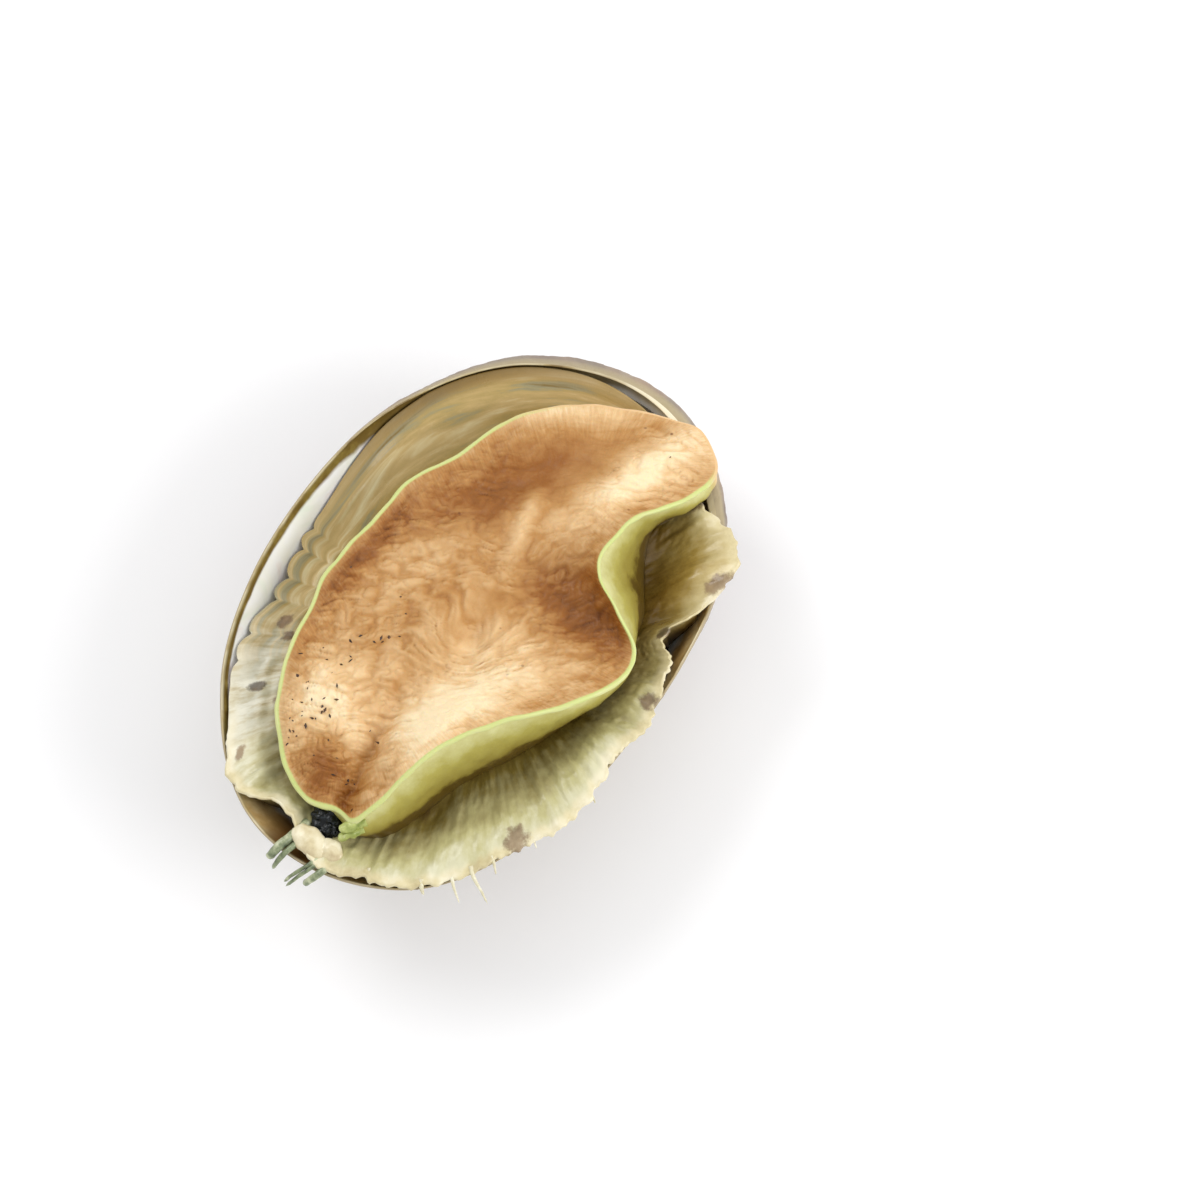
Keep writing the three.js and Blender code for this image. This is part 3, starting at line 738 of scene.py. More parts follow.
def grit_mesh(settings):
    """Flattened eight-sided crumbs scattered over the anterior half of the sole, each turned at random
    and sunk a third into the skin."""
    draw = np.random.default_rng(5)
    count = 56
    share, v = draw.uniform(0.30, 0.62, count), draw.uniform(0.12, 0.92, count)
    # Six of them may lie anywhere, and about two thirds of all are drawn to clumps.
    share[:6] = draw.uniform(0, 1, 6)
    clumps = np.array([(0.335, 0.4), (0.37, 0.52), (0.43, 0.62), (0.42, 0.34), (0.46, 0.8), (0.55, 0.55)])
    near = clumps[draw.integers(0, len(clumps), count)] + draw.normal(0, 1, (count, 2)) * [0.012, 0.05]
    clumped = draw.random(count) < 0.65
    share, v = np.where(clumped, near[:, 0], share), np.where(clumped, np.clip(near[:, 1], 0.1, 0.95), v)
    place, _, _ = sole_point(share, v, settings.crease_depth)
    size = draw.uniform(0.22, 0.55, (count, 1, 1))
    size = size * draw.uniform([1, 0.5, 0.35], [2.2, 0.9, 0.6], (count, 3))[:, None]
    spin = draw.uniform(0, TAU, count)
    corners = np.array([[1, 0, 0], [0, 1, 0], [-1, 0, 0], [0, -1, 0], [0, 0, 1], [0, 0, -1]], float)
    crumb = corners * size
    c, s = np.cos(spin)[:, None], np.sin(spin)[:, None]
    turned = np.stack(
        [crumb[..., 0] * c - crumb[..., 1] * s, crumb[..., 0] * s + crumb[..., 1] * c, crumb[..., 2]],
        axis=-1,
    )
    points = (turned + place[:, None] + [0, 0, 0.05]).reshape(-1, 3)
    sides = np.array([[0, 1, 4], [1, 2, 4], [2, 3, 4], [3, 0, 4], [1, 0, 5], [2, 1, 5], [3, 2, 5], [0, 3, 5]])
    faces = (sides[None] + 6 * np.arange(count)[:, None, None]).reshape(-1, 3)
    mesh = bpy.data.meshes.new("grit")
    mesh.from_pydata(((points + MOUTH) / 1000).tolist(), [], faces.tolist())
    return mesh


# ------------------------------------------------------------------ finishes
def linear(colour):
    """An sRGB hex colour as linear red, green and blue."""
    values = np.array([int(colour[k : k + 2], 16) for k in (1, 3, 5)]) / 255
    return tuple(np.where(values <= 0.04045, values / 12.92, ((values + 0.055) / 1.055) ** 2.4).tolist())


def opaque(colour):
    return (*(linear(colour) if isinstance(colour, str) else colour), 1.0)


def add(tree, kind, links=None, stops=None, **settings):
    """Adds a node, gives it its settings, its colour stops if it is a ramp, and a link or value for each
    input."""
    made = tree.nodes.new(kind)
    for key, value in settings.items():
        setattr(made, key, value)
    for key, value in (links or {}).items():
        if isinstance(value, bpy.types.NodeSocket):
            tree.links.new(value, made.inputs[key])
        else:
            made.inputs[key].default_value = value
    if stops:
        colours = made.color_ramp.elements
        for place, colour in stops[2:]:
            colours.new(place)
        for element, (place, colour) in zip(colours, stops):
            element.position, element.color = place, opaque(colour)
    return made


def principled(name, **surface):
    """A new material with a Principled shader whose fixed values are set on its own sockets."""
    material = bpy.data.materials.new(name)
    material.use_nodes = True
    shader = material.node_tree.nodes["Principled BSDF"]
    for key, value in surface.items():
        shader.inputs[key.replace("_", " ")].default_value = value
    return material, material.node_tree, shader


def shell_crust(settings):
    """Outside of the shell: calcite with growth lines, under dark red coralline crust and thin green
    weed. Dull and dry."""
    material, tree, shader = principled("calcite_shell_with_coralline_crust", IOR=1.6)
    place = add(tree, "ShaderNodeTexCoord").outputs["Object"]
    growth = add(tree, "ShaderNodeAttribute", attribute_name="growth").outputs["Vector"]
    age = add(tree, "ShaderNodeAttribute", attribute_name="age").outputs["Fac"]
    # Growth lines about 2 mm apart: the first axis of "growth" crosses them.
    lines = add(
        tree, "ShaderNodeTexNoise", {"Vector": growth, "Scale": 420.0, "Detail": 5.0, "Roughness": 0.6},
    ).outputs["Fac"]
    base = add(
        tree, "ShaderNodeValToRGB", {"Fac": lines},
        [(0.30, "#6B5B45"), (0.44, "#9A8A6C"), (0.55, settings.crust_pale), (0.68, "#D3C9AC")],
    ).outputs["Color"]
    # Grey and pink bands of new shell near the rim.
    fresh = add(
        tree, "ShaderNodeMapRange", {"Value": age, 1: 0.10, 2: 0.45, 3: 0.85, 4: 0.0},
        interpolation_type="SMOOTHSTEP",
    ).outputs[0]
    band = add(tree, "ShaderNodeTexNoise", {"Vector": growth, "Scale": 190.0, "Detail": 3.0}).outputs["Fac"]
    new_shell = add(
        tree, "ShaderNodeValToRGB", {"Fac": band},
        [(0.35, "#6E605C"), (0.5, "#94857A"), (0.60, "#A3907F"), (0.7, "#BBAA94")],
    ).outputs["Color"]
    base = add(tree, "ShaderNodeMix", {0: fresh, 6: base, 7: new_shell}, data_type="RGBA").outputs[2]
    # Coralline crust in patches 15 to 30 mm wide with ragged edges, on the older shell.
    patch = add(
        tree, "ShaderNodeTexNoise",
        {"Vector": place, "Scale": 38.0, "Detail": 7.0, "Roughness": 0.68, "Distortion": 0.4},
    ).outputs["Fac"]
    old = add(tree, "ShaderNodeMapRange", {"Value": age, 1: 0.22, 2: 1.2, 3: -0.12, 4: 0.10}).outputs[0]
    patch = add(tree, "ShaderNodeMath", {0: patch, 1: old}, operation="ADD").outputs[0]
    patch = add(
        tree, "ShaderNodeMapRange", {"Value": patch, 1: 0.5, 2: 0.56}, interpolation_type="SMOOTHSTEP",
    ).outputs[0]
    grain = add(
        tree, "ShaderNodeTexNoise", {"Vector": place, "Scale": 420.0, "Detail": 6.0, "Roughness": 0.7},
    ).outputs["Fac"]
    maroon = add(
        tree, "ShaderNodeValToRGB", {"Fac": grain},
        [
            (0.3, "#2A0D10"), (0.46, settings.crust_red), (0.56, "#6E2A2E"), (0.68, "#9A6456"),
            (0.78, "#C9A48A"),
        ],
    ).outputs["Color"]
    # Orange stain beside it.
    rust = add(
        tree, "ShaderNodeTexNoise",
        {"Vector": place, "Scale": 55.0, "Detail": 5.0, "Roughness": 0.6, "W": 3.0}, noise_dimensions="4D",
    ).outputs["Fac"]
    rust = add(
        tree, "ShaderNodeMapRange", {"Value": rust, 1: 0.53, 2: 0.62, 4: 0.75},
        interpolation_type="SMOOTHSTEP",
    ).outputs[0]
    rust = add(
        tree, "ShaderNodeMath",
        {0: rust, 1: add(tree, "ShaderNodeMath", {0: 1.0, 1: fresh}, operation="SUBTRACT").outputs[0]},
        operation="MULTIPLY",
    ).outputs[0]
    base = add(tree, "ShaderNodeMix", {0: rust, 6: base, 7: opaque("#B77A4C")}, data_type="RGBA").outputs[2]
    weed = add(
        tree, "ShaderNodeTexNoise",
        {"Vector": place, "Scale": 70.0, "Detail": 6.0, "Roughness": 0.7, "W": 9.0}, noise_dimensions="4D",
    ).outputs["Fac"]
    weed = add(
        tree, "ShaderNodeMapRange", {"Value": weed, 1: 0.55, 2: 0.66, 4: 0.7},
        interpolation_type="SMOOTHSTEP",
    ).outputs[0]
    base = add(tree, "ShaderNodeMix", {0: weed, 6: base, 7: opaque("#66683A")}, data_type="RGBA").outputs[2]
    colour = add(tree, "ShaderNodeMix", {0: patch, 6: base, 7: maroon}, data_type="RGBA").outputs[2]
    # The thin edge of the lip is clean and cream.
    below = add(tree, "ShaderNodeAttribute", attribute_name="below_rim").outputs["Fac"]
    clean = add(tree, "ShaderNodeMapRange", {"Value": below, 1: 0.1, 2: 0.9, 3: 0.8, 4: 0.0}).outputs[0]
    colour = add(
        tree, "ShaderNodeMix", {0: clean, 6: colour, 7: opaque("#B8A883")}, data_type="RGBA",
    ).outputs[2]
    tree.links.new(colour, shader.inputs["Base Color"])
    dull = add(tree, "ShaderNodeMapRange", {"Value": grain, 1: 0.3, 2: 0.7, 3: 0.5, 4: 0.85}).outputs[0]
    tree.links.new(dull, shader.inputs["Roughness"])
    relief = add(tree, "ShaderNodeMath", {0: lines, 1: grain}, operation="ADD").outputs[0]
    bump = add(tree, "ShaderNodeBump", {"Height": relief, "Strength": 0.7, "Distance": 0.0005})
    tree.links.new(bump.outputs[0], shader.inputs["Normal"])
    return material


def nacre(settings):
    """Inside of the shell: mother-of-pearl, polished by the mantle, with an olive-brown margin of bare
    shell inside the rim. Thin layers of aragonite give its faint green and pink."""
    material, tree, shader = principled("mother_of_pearl", IOR=1.6, Coat_Weight=0.4, Coat_Roughness=0.12)
    place = add(tree, "ShaderNodeTexCoord").outputs["Object"]
    below = add(tree, "ShaderNodeAttribute", attribute_name="below_rim").outputs["Fac"]
    margin = add(tree, "ShaderNodeAttribute", attribute_name="margin").outputs["Fac"]
    ledge = add(tree, "ShaderNodeAttribute", attribute_name="ledge").outputs["Fac"]
    play = add(
        tree, "ShaderNodeTexNoise", {"Vector": place, "Scale": 60.0, "Detail": 3.0, "Distortion": 1.2},
    ).outputs["Fac"]
    pearl = add(
        tree, "ShaderNodeValToRGB", {"Fac": play},
        [(0.30, "#F0F8EA"), (0.42, settings.pearl), (0.55, "#FFFFFF"), (0.70, "#FBEFEE")],
    ).outputs["Color"]
    # Share of the margin's width, with a ragged inner boundary.
    ragged = add(tree, "ShaderNodeTexNoise", {"Vector": place, "Scale": 130.0, "Detail": 4.0}).outputs["Fac"]
    share = add(tree, "ShaderNodeMath", {0: below, 1: margin}, operation="DIVIDE").outputs[0]
    share = add(tree, "ShaderNodeMath", {0: ragged, 1: 0.5, 2: share}, operation="MULTIPLY_ADD").outputs[0]
    inside = add(
        tree, "ShaderNodeMapRange", {"Value": share, 1: 1.0, 2: 1.35}, interpolation_type="SMOOTHSTEP",
    ).outputs[0]
    streak = add(
        tree, "ShaderNodeTexNoise", {"Vector": place, "Scale": 90.0, "Detail": 5.0, "Roughness": 0.6},
    ).outputs["Fac"]
    olive = add(
        tree, "ShaderNodeValToRGB", {"Fac": streak},
        [(0.35, "#66501A"), (0.5, settings.margin_olive), (0.62, "#94803C"), (0.72, "#A5945A")],
    ).outputs["Color"]
    tan = add(
        tree, "ShaderNodeValToRGB", {"Fac": streak},
        [(0.35, "#A9864C"), (0.5, "#C8A76E"), (0.65, "#E0CB9C")],
    ).outputs["Color"]
    wide = add(tree, "ShaderNodeMapRange", {"Value": margin, 1: 5.5, 2: 10.0}).outputs[0]
    bare = add(tree, "ShaderNodeMix", {0: wide, 6: olive, 7: tan}, data_type="RGBA").outputs[2]
    # The widest margin, by the head, is brown.
    widest = add(tree, "ShaderNodeMapRange", {"Value": margin, 1: 11.0, 2: 12.4, 4: 0.9}).outputs[0]
    bare = add(tree, "ShaderNodeMix", {0: widest, 6: bare, 7: opaque("#7A4E1C")}, data_type="RGBA").outputs[2]
    colour = add(tree, "ShaderNodeMix", {0: inside, 6: bare, 7: pearl}, data_type="RGBA").outputs[2]
    edge = add(tree, "ShaderNodeMapRange", {"Value": below, 1: 0.05, 2: 0.7, 3: 0.75, 4: 0.0}).outputs[0]
    worn = add(
        tree, "ShaderNodeValToRGB", {"Fac": play},
        [(0.36, "#7E6636"), (0.48, "#B5A270"), (0.62, "#DED4B2")],
    ).outputs["Color"]
    colour = add(tree, "ShaderNodeMix", {0: edge, 6: colour, 7: worn}, data_type="RGBA").outputs[2]
    colour = add(
        tree, "ShaderNodeMix", {0: ledge, 6: colour, 7: opaque("#F7EED0")}, data_type="RGBA",
    ).outputs[2]
    tree.links.new(colour, shader.inputs["Base Color"])
    gloss = add(tree, "ShaderNodeMapRange", {"Value": inside, 3: 0.42, 4: 0.2}).outputs[0]
    tree.links.new(gloss, shader.inputs["Roughness"])
    bump = add(tree, "ShaderNodeBump", {"Height": streak, "Strength": 0.25, "Distance": 0.0004})
    tree.links.new(bump.outputs[0], shader.inputs["Normal"])
    return material


def sole_skin(settings):
    """Sole of the foot: wet raw muscle skin, orange tan, with painted light and shade: light where it is
    stretched and on its swellings, and brown in its hollows and creases."""
    material, tree, shader = principled(
        "wet_raw_foot_muscle", IOR=1.38, Subsurface_Weight=0.15, Subsurface_Radius=(0.003, 0.0014, 0.0006),
        Coat_Weight=0.1, Coat_Roughness=0.25,
    )
    place = add(tree, "ShaderNodeTexCoord").outputs["Object"]
    stain_and_shade = add(tree, "ShaderNodeAttribute", attribute_name="stain_and_shade").outputs["Fac"]
    crease_shade = add(tree, "ShaderNodeAttribute", attribute_name="crease_shade").outputs["Fac"]
    from_edge = add(tree, "ShaderNodeAttribute", attribute_name="from_edge").outputs["Fac"]
    fibre = add(tree, "ShaderNodeAttribute", attribute_name="fibre").outputs["Vector"]
    green = add(tree, "ShaderNodeAttribute", attribute_name="green").outputs["Fac"]
    cloud = add(
        tree, "ShaderNodeTexNoise", {"Vector": place, "Scale": 110.0, "Detail": 6.0, "Roughness": 0.6},
    ).outputs["Fac"]
    # Muscle fibres 0.6 mm apart, running in from the edge.
    threads = add(
        tree, "ShaderNodeTexNoise", {"Vector": fibre, "Scale": 1500.0, "Detail": 3.0, "Roughness": 0.6},
    ).outputs["Fac"]
    # The tone is partly stain and partly painted light and shade: pale on the swellings, dark in the hollows.
    tone = add(tree, "ShaderNodeMath", {0: stain_and_shade, 1: 0.36, 2: 0.28}, operation="MULTIPLY_ADD").outputs[0]
    tone = add(tree, "ShaderNodeMath", {0: cloud, 1: 0.34, 2: tone}, operation="MULTIPLY_ADD").outputs[0]
    near_edge = add(
        tree, "ShaderNodeMapRange", {"Value": from_edge, 1: 1.0, 2: 15.0, 3: 0.3, 4: 0.0},
    ).outputs[0]
    thread_tone = add(tree, "ShaderNodeMath", {0: threads, 1: 0.5}, operation="SUBTRACT").outputs[0]
    tone = add(
        tree, "ShaderNodeMath", {0: thread_tone, 1: near_edge, 2: tone}, operation="MULTIPLY_ADD",
    ).outputs[0]
    # Painted shade: the tone darkens in the creases.
    tone = add(tree, "ShaderNodeMath", {0: crease_shade, 1: 0.16, 2: tone}, operation="MULTIPLY_ADD").outputs[0]
    skin = add(
        tree, "ShaderNodeValToRGB", {"Fac": tone},
        [
            (0.14, "#F6E0B6"), (0.31, settings.sole_pale), (0.52, settings.sole),
            (0.70, settings.sole_dark), (0.90, "#6C3A08"),
        ],
    ).outputs["Color"]
    # The outermost millimetre takes the lip's green, but not at the spire end.
    rim = add(
        tree, "ShaderNodeMapRange", {"Value": from_edge, 1: 0.15, 2: 0.8, 3: 1.0, 4: 0.0},
        interpolation_type="SMOOTHSTEP",
    ).outputs[0]
    rim = add(tree, "ShaderNodeMath", {0: rim, 1: green}, operation="MULTIPLY").outputs[0]
    colour = add(
        tree, "ShaderNodeMix", {0: rim, 6: skin, 7: opaque(settings.lip)}, data_type="RGBA",
    ).outputs[2]
    # Fine dirt in pinholes.
    pins = add(
        tree, "ShaderNodeTexVoronoi", {"Vector": place, "Scale": 210.0, "Randomness": 1.0},
    ).outputs["Distance"]
    pick = add(
        tree, "ShaderNodeTexNoise", {"Vector": place, "Scale": 70.0, "Detail": 2.0, "W": 4.0},
        noise_dimensions="4D",
    ).outputs["Fac"]
    pick = add(tree, "ShaderNodeMapRange", {"Value": pick, 1: 0.55, 2: 0.62}).outputs[0]
    pins = add(tree, "ShaderNodeMapRange", {"Value": pins, 1: 0.06, 2: 0.12, 3: 0.75, 4: 0.0}).outputs[0]
    pins = add(tree, "ShaderNodeMath", {0: pins, 1: pick}, operation="MULTIPLY").outputs[0]
    colour = add(
        tree, "ShaderNodeMix", {0: pins, 6: colour, 7: opaque("#6B3D1C")}, data_type="RGBA",
    ).outputs[2]
    tree.links.new(colour, shader.inputs["Base Color"])
    wet = add(tree, "ShaderNodeMapRange", {"Value": cloud, 1: 0.3, 2: 0.7, 3: 0.42, 4: 0.60}).outputs[0]
    tree.links.new(wet, shader.inputs["Roughness"])
    # Skin grain 1 mm across and finer.
    grain = add(
        tree, "ShaderNodeTexNoise", {"Vector": place, "Scale": 900.0, "Detail": 4.0, "Roughness": 0.6},
    ).outputs["Fac"]
    relief = add(tree, "ShaderNodeMath", {0: near_edge, 1: 3.0}, operation="MULTIPLY").outputs[0]
    relief = add(
        tree, "ShaderNodeMath", {0: threads, 1: relief, 2: grain}, operation="MULTIPLY_ADD",
    ).outputs[0]
    bump = add(tree, "ShaderNodeBump", {"Height": relief, "Strength": 0.7, "Distance": 0.0004})
    tree.links.new(bump.outputs[0], shader.inputs["Normal"])
    return material


def green_skin(settings):
    """Lip and side of the foot: smooth wet green skin, yellow at the bead of the lip and olive brown low
    down, partly its colour and partly painted shade where the side turns under to its base."""
    material, tree, shader = principled(
        "wet_green_lip_skin", IOR=1.38, Subsurface_Weight=0.15, Subsurface_Radius=(0.002, 0.0018, 0.0006),
        Coat_Weight=0.3, Coat_Roughness=0.2,
    )
    place = add(tree, "ShaderNodeTexCoord").outputs["Object"]
    down = add(tree, "ShaderNodeAttribute", attribute_name="down_side").outputs["Fac"]
    cloud = add(
        tree, "ShaderNodeTexNoise", {"Vector": place, "Scale": 110.0, "Detail": 6.0, "Roughness": 0.65},
    ).outputs["Fac"]
    green = add(tree, "ShaderNodeAttribute", attribute_name="green").outputs["Fac"]
    # The tone darkens down the side: partly its olive colour, partly painted shade.
    tone = add(tree, "ShaderNodeMath", {0: cloud, 1: 0.5, 2: down}, operation="MULTIPLY_ADD").outputs[0]
    skin = add(
        tree, "ShaderNodeValToRGB", {"Fac": tone},
        [
            (0.2, settings.lip), (0.42, settings.fold_green), (0.66, "#B2A854"), (0.92, "#98883A"),
            (1.2, "#5E4A16"),
        ],
    ).outputs["Color"]
    skin = add(
        tree, "ShaderNodeMix", {0: green, 6: opaque(settings.sole_pale), 7: skin}, data_type="RGBA",
    ).outputs[2]
    tree.links.new(skin, shader.inputs["Base Color"])
    wet = add(tree, "ShaderNodeMapRange", {"Value": cloud, 1: 0.3, 2: 0.7, 3: 0.32, 4: 0.5}).outputs[0]
    tree.links.new(wet, shader.inputs["Roughness"])
    grain = add(tree, "ShaderNodeTexNoise", {"Vector": place, "Scale": 700.0, "Detail": 3.0}).outputs["Fac"]
    bump = add(tree, "ShaderNodeBump", {"Height": grain, "Strength": 0.35, "Distance": 0.00025})
    tree.links.new(bump.outputs[0], shader.inputs["Normal"])
    return material


def mantle_skin(settings):
    """Mantle: thin wet skin, olive tan where it lines the shell, pale green where it spreads as a skirt,
    cream at its ragged edge, with brown patches and the pale gut and gills showing through. The skirt darkens
    towards the foot and in the hollow underneath, partly its olive colour and partly painted shade."""
    material, tree, shader = principled("wet_mantle_skin", IOR=1.38, Coat_Weight=0.4, Coat_Roughness=0.15)
    place = add(tree, "ShaderNodeTexCoord").outputs["Object"]
    reach = add(tree, "ShaderNodeAttribute", attribute_name="reach").outputs["Fac"]
    lining = add(tree, "ShaderNodeAttribute", attribute_name="lining").outputs["Fac"]
    to_edge = add(tree, "ShaderNodeAttribute", attribute_name="to_edge").outputs["Fac"]
    patch = add(tree, "ShaderNodeAttribute", attribute_name="patch").outputs["Fac"]
    gill = add(tree, "ShaderNodeAttribute", attribute_name="gill").outputs["Fac"]
    pleat = add(tree, "ShaderNodeAttribute", attribute_name="pleat").outputs["Vector"]
    cloud = add(
        tree, "ShaderNodeTexNoise", {"Vector": place, "Scale": 80.0, "Detail": 6.0, "Roughness": 0.62},
    ).outputs["Fac"]
    rays = add(
        tree, "ShaderNodeTexNoise", {"Vector": pleat, "Scale": 420.0, "Detail": 4.0, "Roughness": 0.6},
    ).outputs["Fac"]
    # Streaks that follow the rim: reach crosses them.
    stretch = add(
        tree, "ShaderNodeVectorMath", {0: pleat, 1: (0.07, 0.07, 3.0)}, operation="MULTIPLY",
    ).outputs[0]
    streaks = add(
        tree, "ShaderNodeTexNoise",
        {"Vector": stretch, "Scale": 330.0, "Detail": 5.0, "Roughness": 0.58, "Distortion": 0.5},
    ).outputs["Fac"]
    lined = add(
        tree, "ShaderNodeValToRGB", {"Fac": streaks},
        [(0.3, "#80682E"), (0.41, "#9C9470"), (0.48, settings.lining), (0.56, "#C2A66C"), (0.68, "#DBCDA0")],
    ).outputs["Color"]
    # Reach runs from 0 by the foot to 1 at the edge. The skirt darkens towards the foot, partly its olive
    # colour and partly painted shade of the groove beside the foot.
    tone = add(tree, "ShaderNodeMath", {0: cloud, 1: 0.7, 2: -0.35}, operation="MULTIPLY_ADD").outputs[0]
    tone = add(tree, "ShaderNodeMath", {0: rays, 1: 0.35, 2: tone}, operation="MULTIPLY_ADD").outputs[0]
    tone = add(tree, "ShaderNodeMath", {0: reach, 1: 0.75, 2: tone}, operation="MULTIPLY_ADD").outputs[0]
    skirt = add(
        tree, "ShaderNodeValToRGB", {"Fac": tone},
        [(0.14, "#5A4412"), (0.34, "#7F6E30"), (0.52, "#A09668"), (0.72, settings.mantle), (0.92, "#D6D2B0")],
    ).outputs["Color"]
    # By the spire end the skirt is browner, and its dark end by the foot is painted shade in the pocket
    # there.
    tan = add(
        tree, "ShaderNodeValToRGB", {"Fac": tone},
        [(0.14, "#4E3610"), (0.36, "#765A1E"), (0.60, "#9C8240"), (0.85, "#C6B480")],
    ).outputs["Color"]
    spire_end = add(tree, "ShaderNodeAttribute", attribute_name="spire_end").outputs["Fac"]
    skirt = add(tree, "ShaderNodeMix", {0: spire_end, 6: skirt, 7: tan}, data_type="RGBA").outputs[2]
    colour = add(tree, "ShaderNodeMix", {0: lining, 6: skirt, 7: lined}, data_type="RGBA").outputs[2]
    # Gut and gills: milky, with brown threads.
    milk = add(
        tree, "ShaderNodeValToRGB", {"Fac": rays},
        [(0.3, "#B5A684"), (0.44, "#D6CDB2"), (0.56, "#E6E3D2"), (0.7, "#F2EEDE")],
    ).outputs["Color"]
    colour = add(tree, "ShaderNodeMix", {0: gill, 6: colour, 7: milk}, data_type="RGBA").outputs[2]
    edge = add(
        tree, "ShaderNodeMapRange", {"Value": to_edge, 1: 0.6, 2: 3.2, 3: 0.85, 4: 0.0},
        interpolation_type="SMOOTHSTEP",
    ).outputs[0]
    free = add(tree, "ShaderNodeMapRange", {"Value": lining, 3: 1.0, 4: 0.2}).outputs[0]
    edge = add(tree, "ShaderNodeMath", {0: edge, 1: free}, operation="MULTIPLY").outputs[0]
    cream = add(
        tree, "ShaderNodeValToRGB", {"Fac": cloud},
        [(0.38, "#C0B083"), (0.5, settings.mantle_edge), (0.64, "#EFE6C9")],
    ).outputs["Color"]
    colour = add(tree, "ShaderNodeMix", {0: edge, 6: colour, 7: cream}, data_type="RGBA").outputs[2]
    # On the pore side the edge darkens to the olive of the bare rim beside it.
    olive = add(tree, "ShaderNodeAttribute", attribute_name="olive_edge").outputs["Fac"]
    olive = add(tree, "ShaderNodeMath", {0: olive, 1: 0.8}, operation="MULTIPLY").outputs[0]
    colour = add(
        tree, "ShaderNodeMix", {0: olive, 6: colour, 7: opaque("#83642A")}, data_type="RGBA",
    ).outputs[2]
    # Patches are broken up by noise 2 mm across.
    speck = add(
        tree, "ShaderNodeTexNoise", {"Vector": place, "Scale": 420.0, "Detail": 5.0, "Roughness": 0.7},
    ).outputs["Fac"]
    spot = add(tree, "ShaderNodeMath", {0: speck, 1: 0.9, 2: patch}, operation="MULTIPLY_ADD").outputs[0]
    spot = add(
        tree, "ShaderNodeMapRange", {"Value": spot, 1: 1.0, 2: 1.32, 4: 0.8},
        interpolation_type="SMOOTHSTEP",
    ).outputs[0]
    brown = add(
        tree, "ShaderNodeValToRGB", {"Fac": cloud},
        [(0.4, "#3A2A1E"), (0.5, settings.patch), (0.62, "#8F7455")],
    ).outputs["Color"]
    colour = add(tree, "ShaderNodeMix", {0: spot, 6: colour, 7: brown}, data_type="RGBA").outputs[2]
    tree.links.new(colour, shader.inputs["Base Color"])
    wet = add(tree, "ShaderNodeMapRange", {"Value": cloud, 1: 0.3, 2: 0.7, 3: 0.25, 4: 0.48}).outputs[0]
    tree.links.new(wet, shader.inputs["Roughness"])
    relief = add(tree, "ShaderNodeMath", {0: rays, 1: speck}, operation="ADD").outputs[0]
    bump = add(tree, "ShaderNodeBump", {"Height": relief, "Strength": 0.45, "Distance": 0.0004})
    tree.links.new(bump.outputs[0], shader.inputs["Normal"])
    return material


def small_skin(name, stops, scale, **surface):
    """Skin of the small parts: one noise through a ramp of colours, and a fine bump."""
    material, tree, shader = principled(name, **surface)
    place = add(tree, "ShaderNodeTexCoord").outputs["Object"]
    cloud = add(
        tree, "ShaderNodeTexNoise", {"Vector": place, "Scale": scale, "Detail": 5.0, "Roughness": 0.6},
    ).outputs["Fac"]
    colour = add(tree, "ShaderNodeValToRGB", {"Fac": cloud}, stops).outputs["Color"]
    tree.links.new(colour, shader.inputs["Base Color"])
    bump = add(tree, "ShaderNodeBump", {"Height": cloud, "Strength": 0.5, "Distance": 0.0003})
    tree.links.new(bump.outputs[0], shader.inputs["Normal"])
    return material


# ------------------------------------------------------------------ settings
def number_setting(name, description, default, low, high):
    return FloatProperty(name=name, description=description, default=default, min=low, max=high)


def colour_setting(name, description, default):
    return FloatVectorProperty(
        name=name, description=description, default=linear(default), min=0, max=1, subtype="COLOR",
    )


class ShellSettings(bpy.types.PropertyGroup):
    growth_steps: number_setting(
        "Growth steps", "Height of the growth steps on the outside, as a multiple of 0.3 mm", 1.0, 0, 3,
    )
    pore_radius: number_setting("Pore radius", "Radius of the open breathing pores, in mm", 1.7, 0.5, 3)
    crust_red: colour_setting("Crust", "Coralline crust on the old shell", "#4E1C1E")
    crust_pale: colour_setting("Bare shell", "Bare growth lines outside", "#C5BF9C")
    pearl: colour_setting("Pearl", "Mother-of-pearl inside", "#FDFDF6")
    margin_olive: colour_setting("Margin", "Bare margin inside the rim", "#745C22")


class FleshSettings(bpy.types.PropertyGroup):
    crease_depth: number_setting("Crease depth", "Depth of the sole's creases, in mm", 1.5, 0, 3)
    lip_width: number_setting("Lip width", "Width of the green bead round the sole, in mm", 1.5, 0.5, 4)
    frill: number_setting("Frill", "Raggedness of the mantle's edge, in mm", 1.0, 0, 3)
    # The pale sole also stands for painted light on the swellings, and the dark sole for painted shade in the
    # hollows.
    sole: colour_setting("Sole", "Skin of the sole", "#BC8A4E")
    sole_pale: colour_setting("Pale sole", "Stretched skin of the sole", "#E2BC88")
    sole_dark: colour_setting("Dark sole", "Skin of the sole by its edge and in hollows", "#965C1E")
    lip: colour_setting("Lip", "Bead round the sole", "#CCD786")
    fold_green: colour_setting("Fold", "Side of the foot", "#D8D698")
    lining: colour_setting("Lining", "Mantle where it lines the shell", "#B39A5E")
    mantle: colour_setting("Mantle", "Mantle where it spreads as a skirt", "#BCB682")
    mantle_edge: colour_setting("Mantle edge", "Ragged edge of the mantle", "#DDCFA2")
    patch: colour_setting("Patches", "Brown patches on the mantle", "#6E5038")


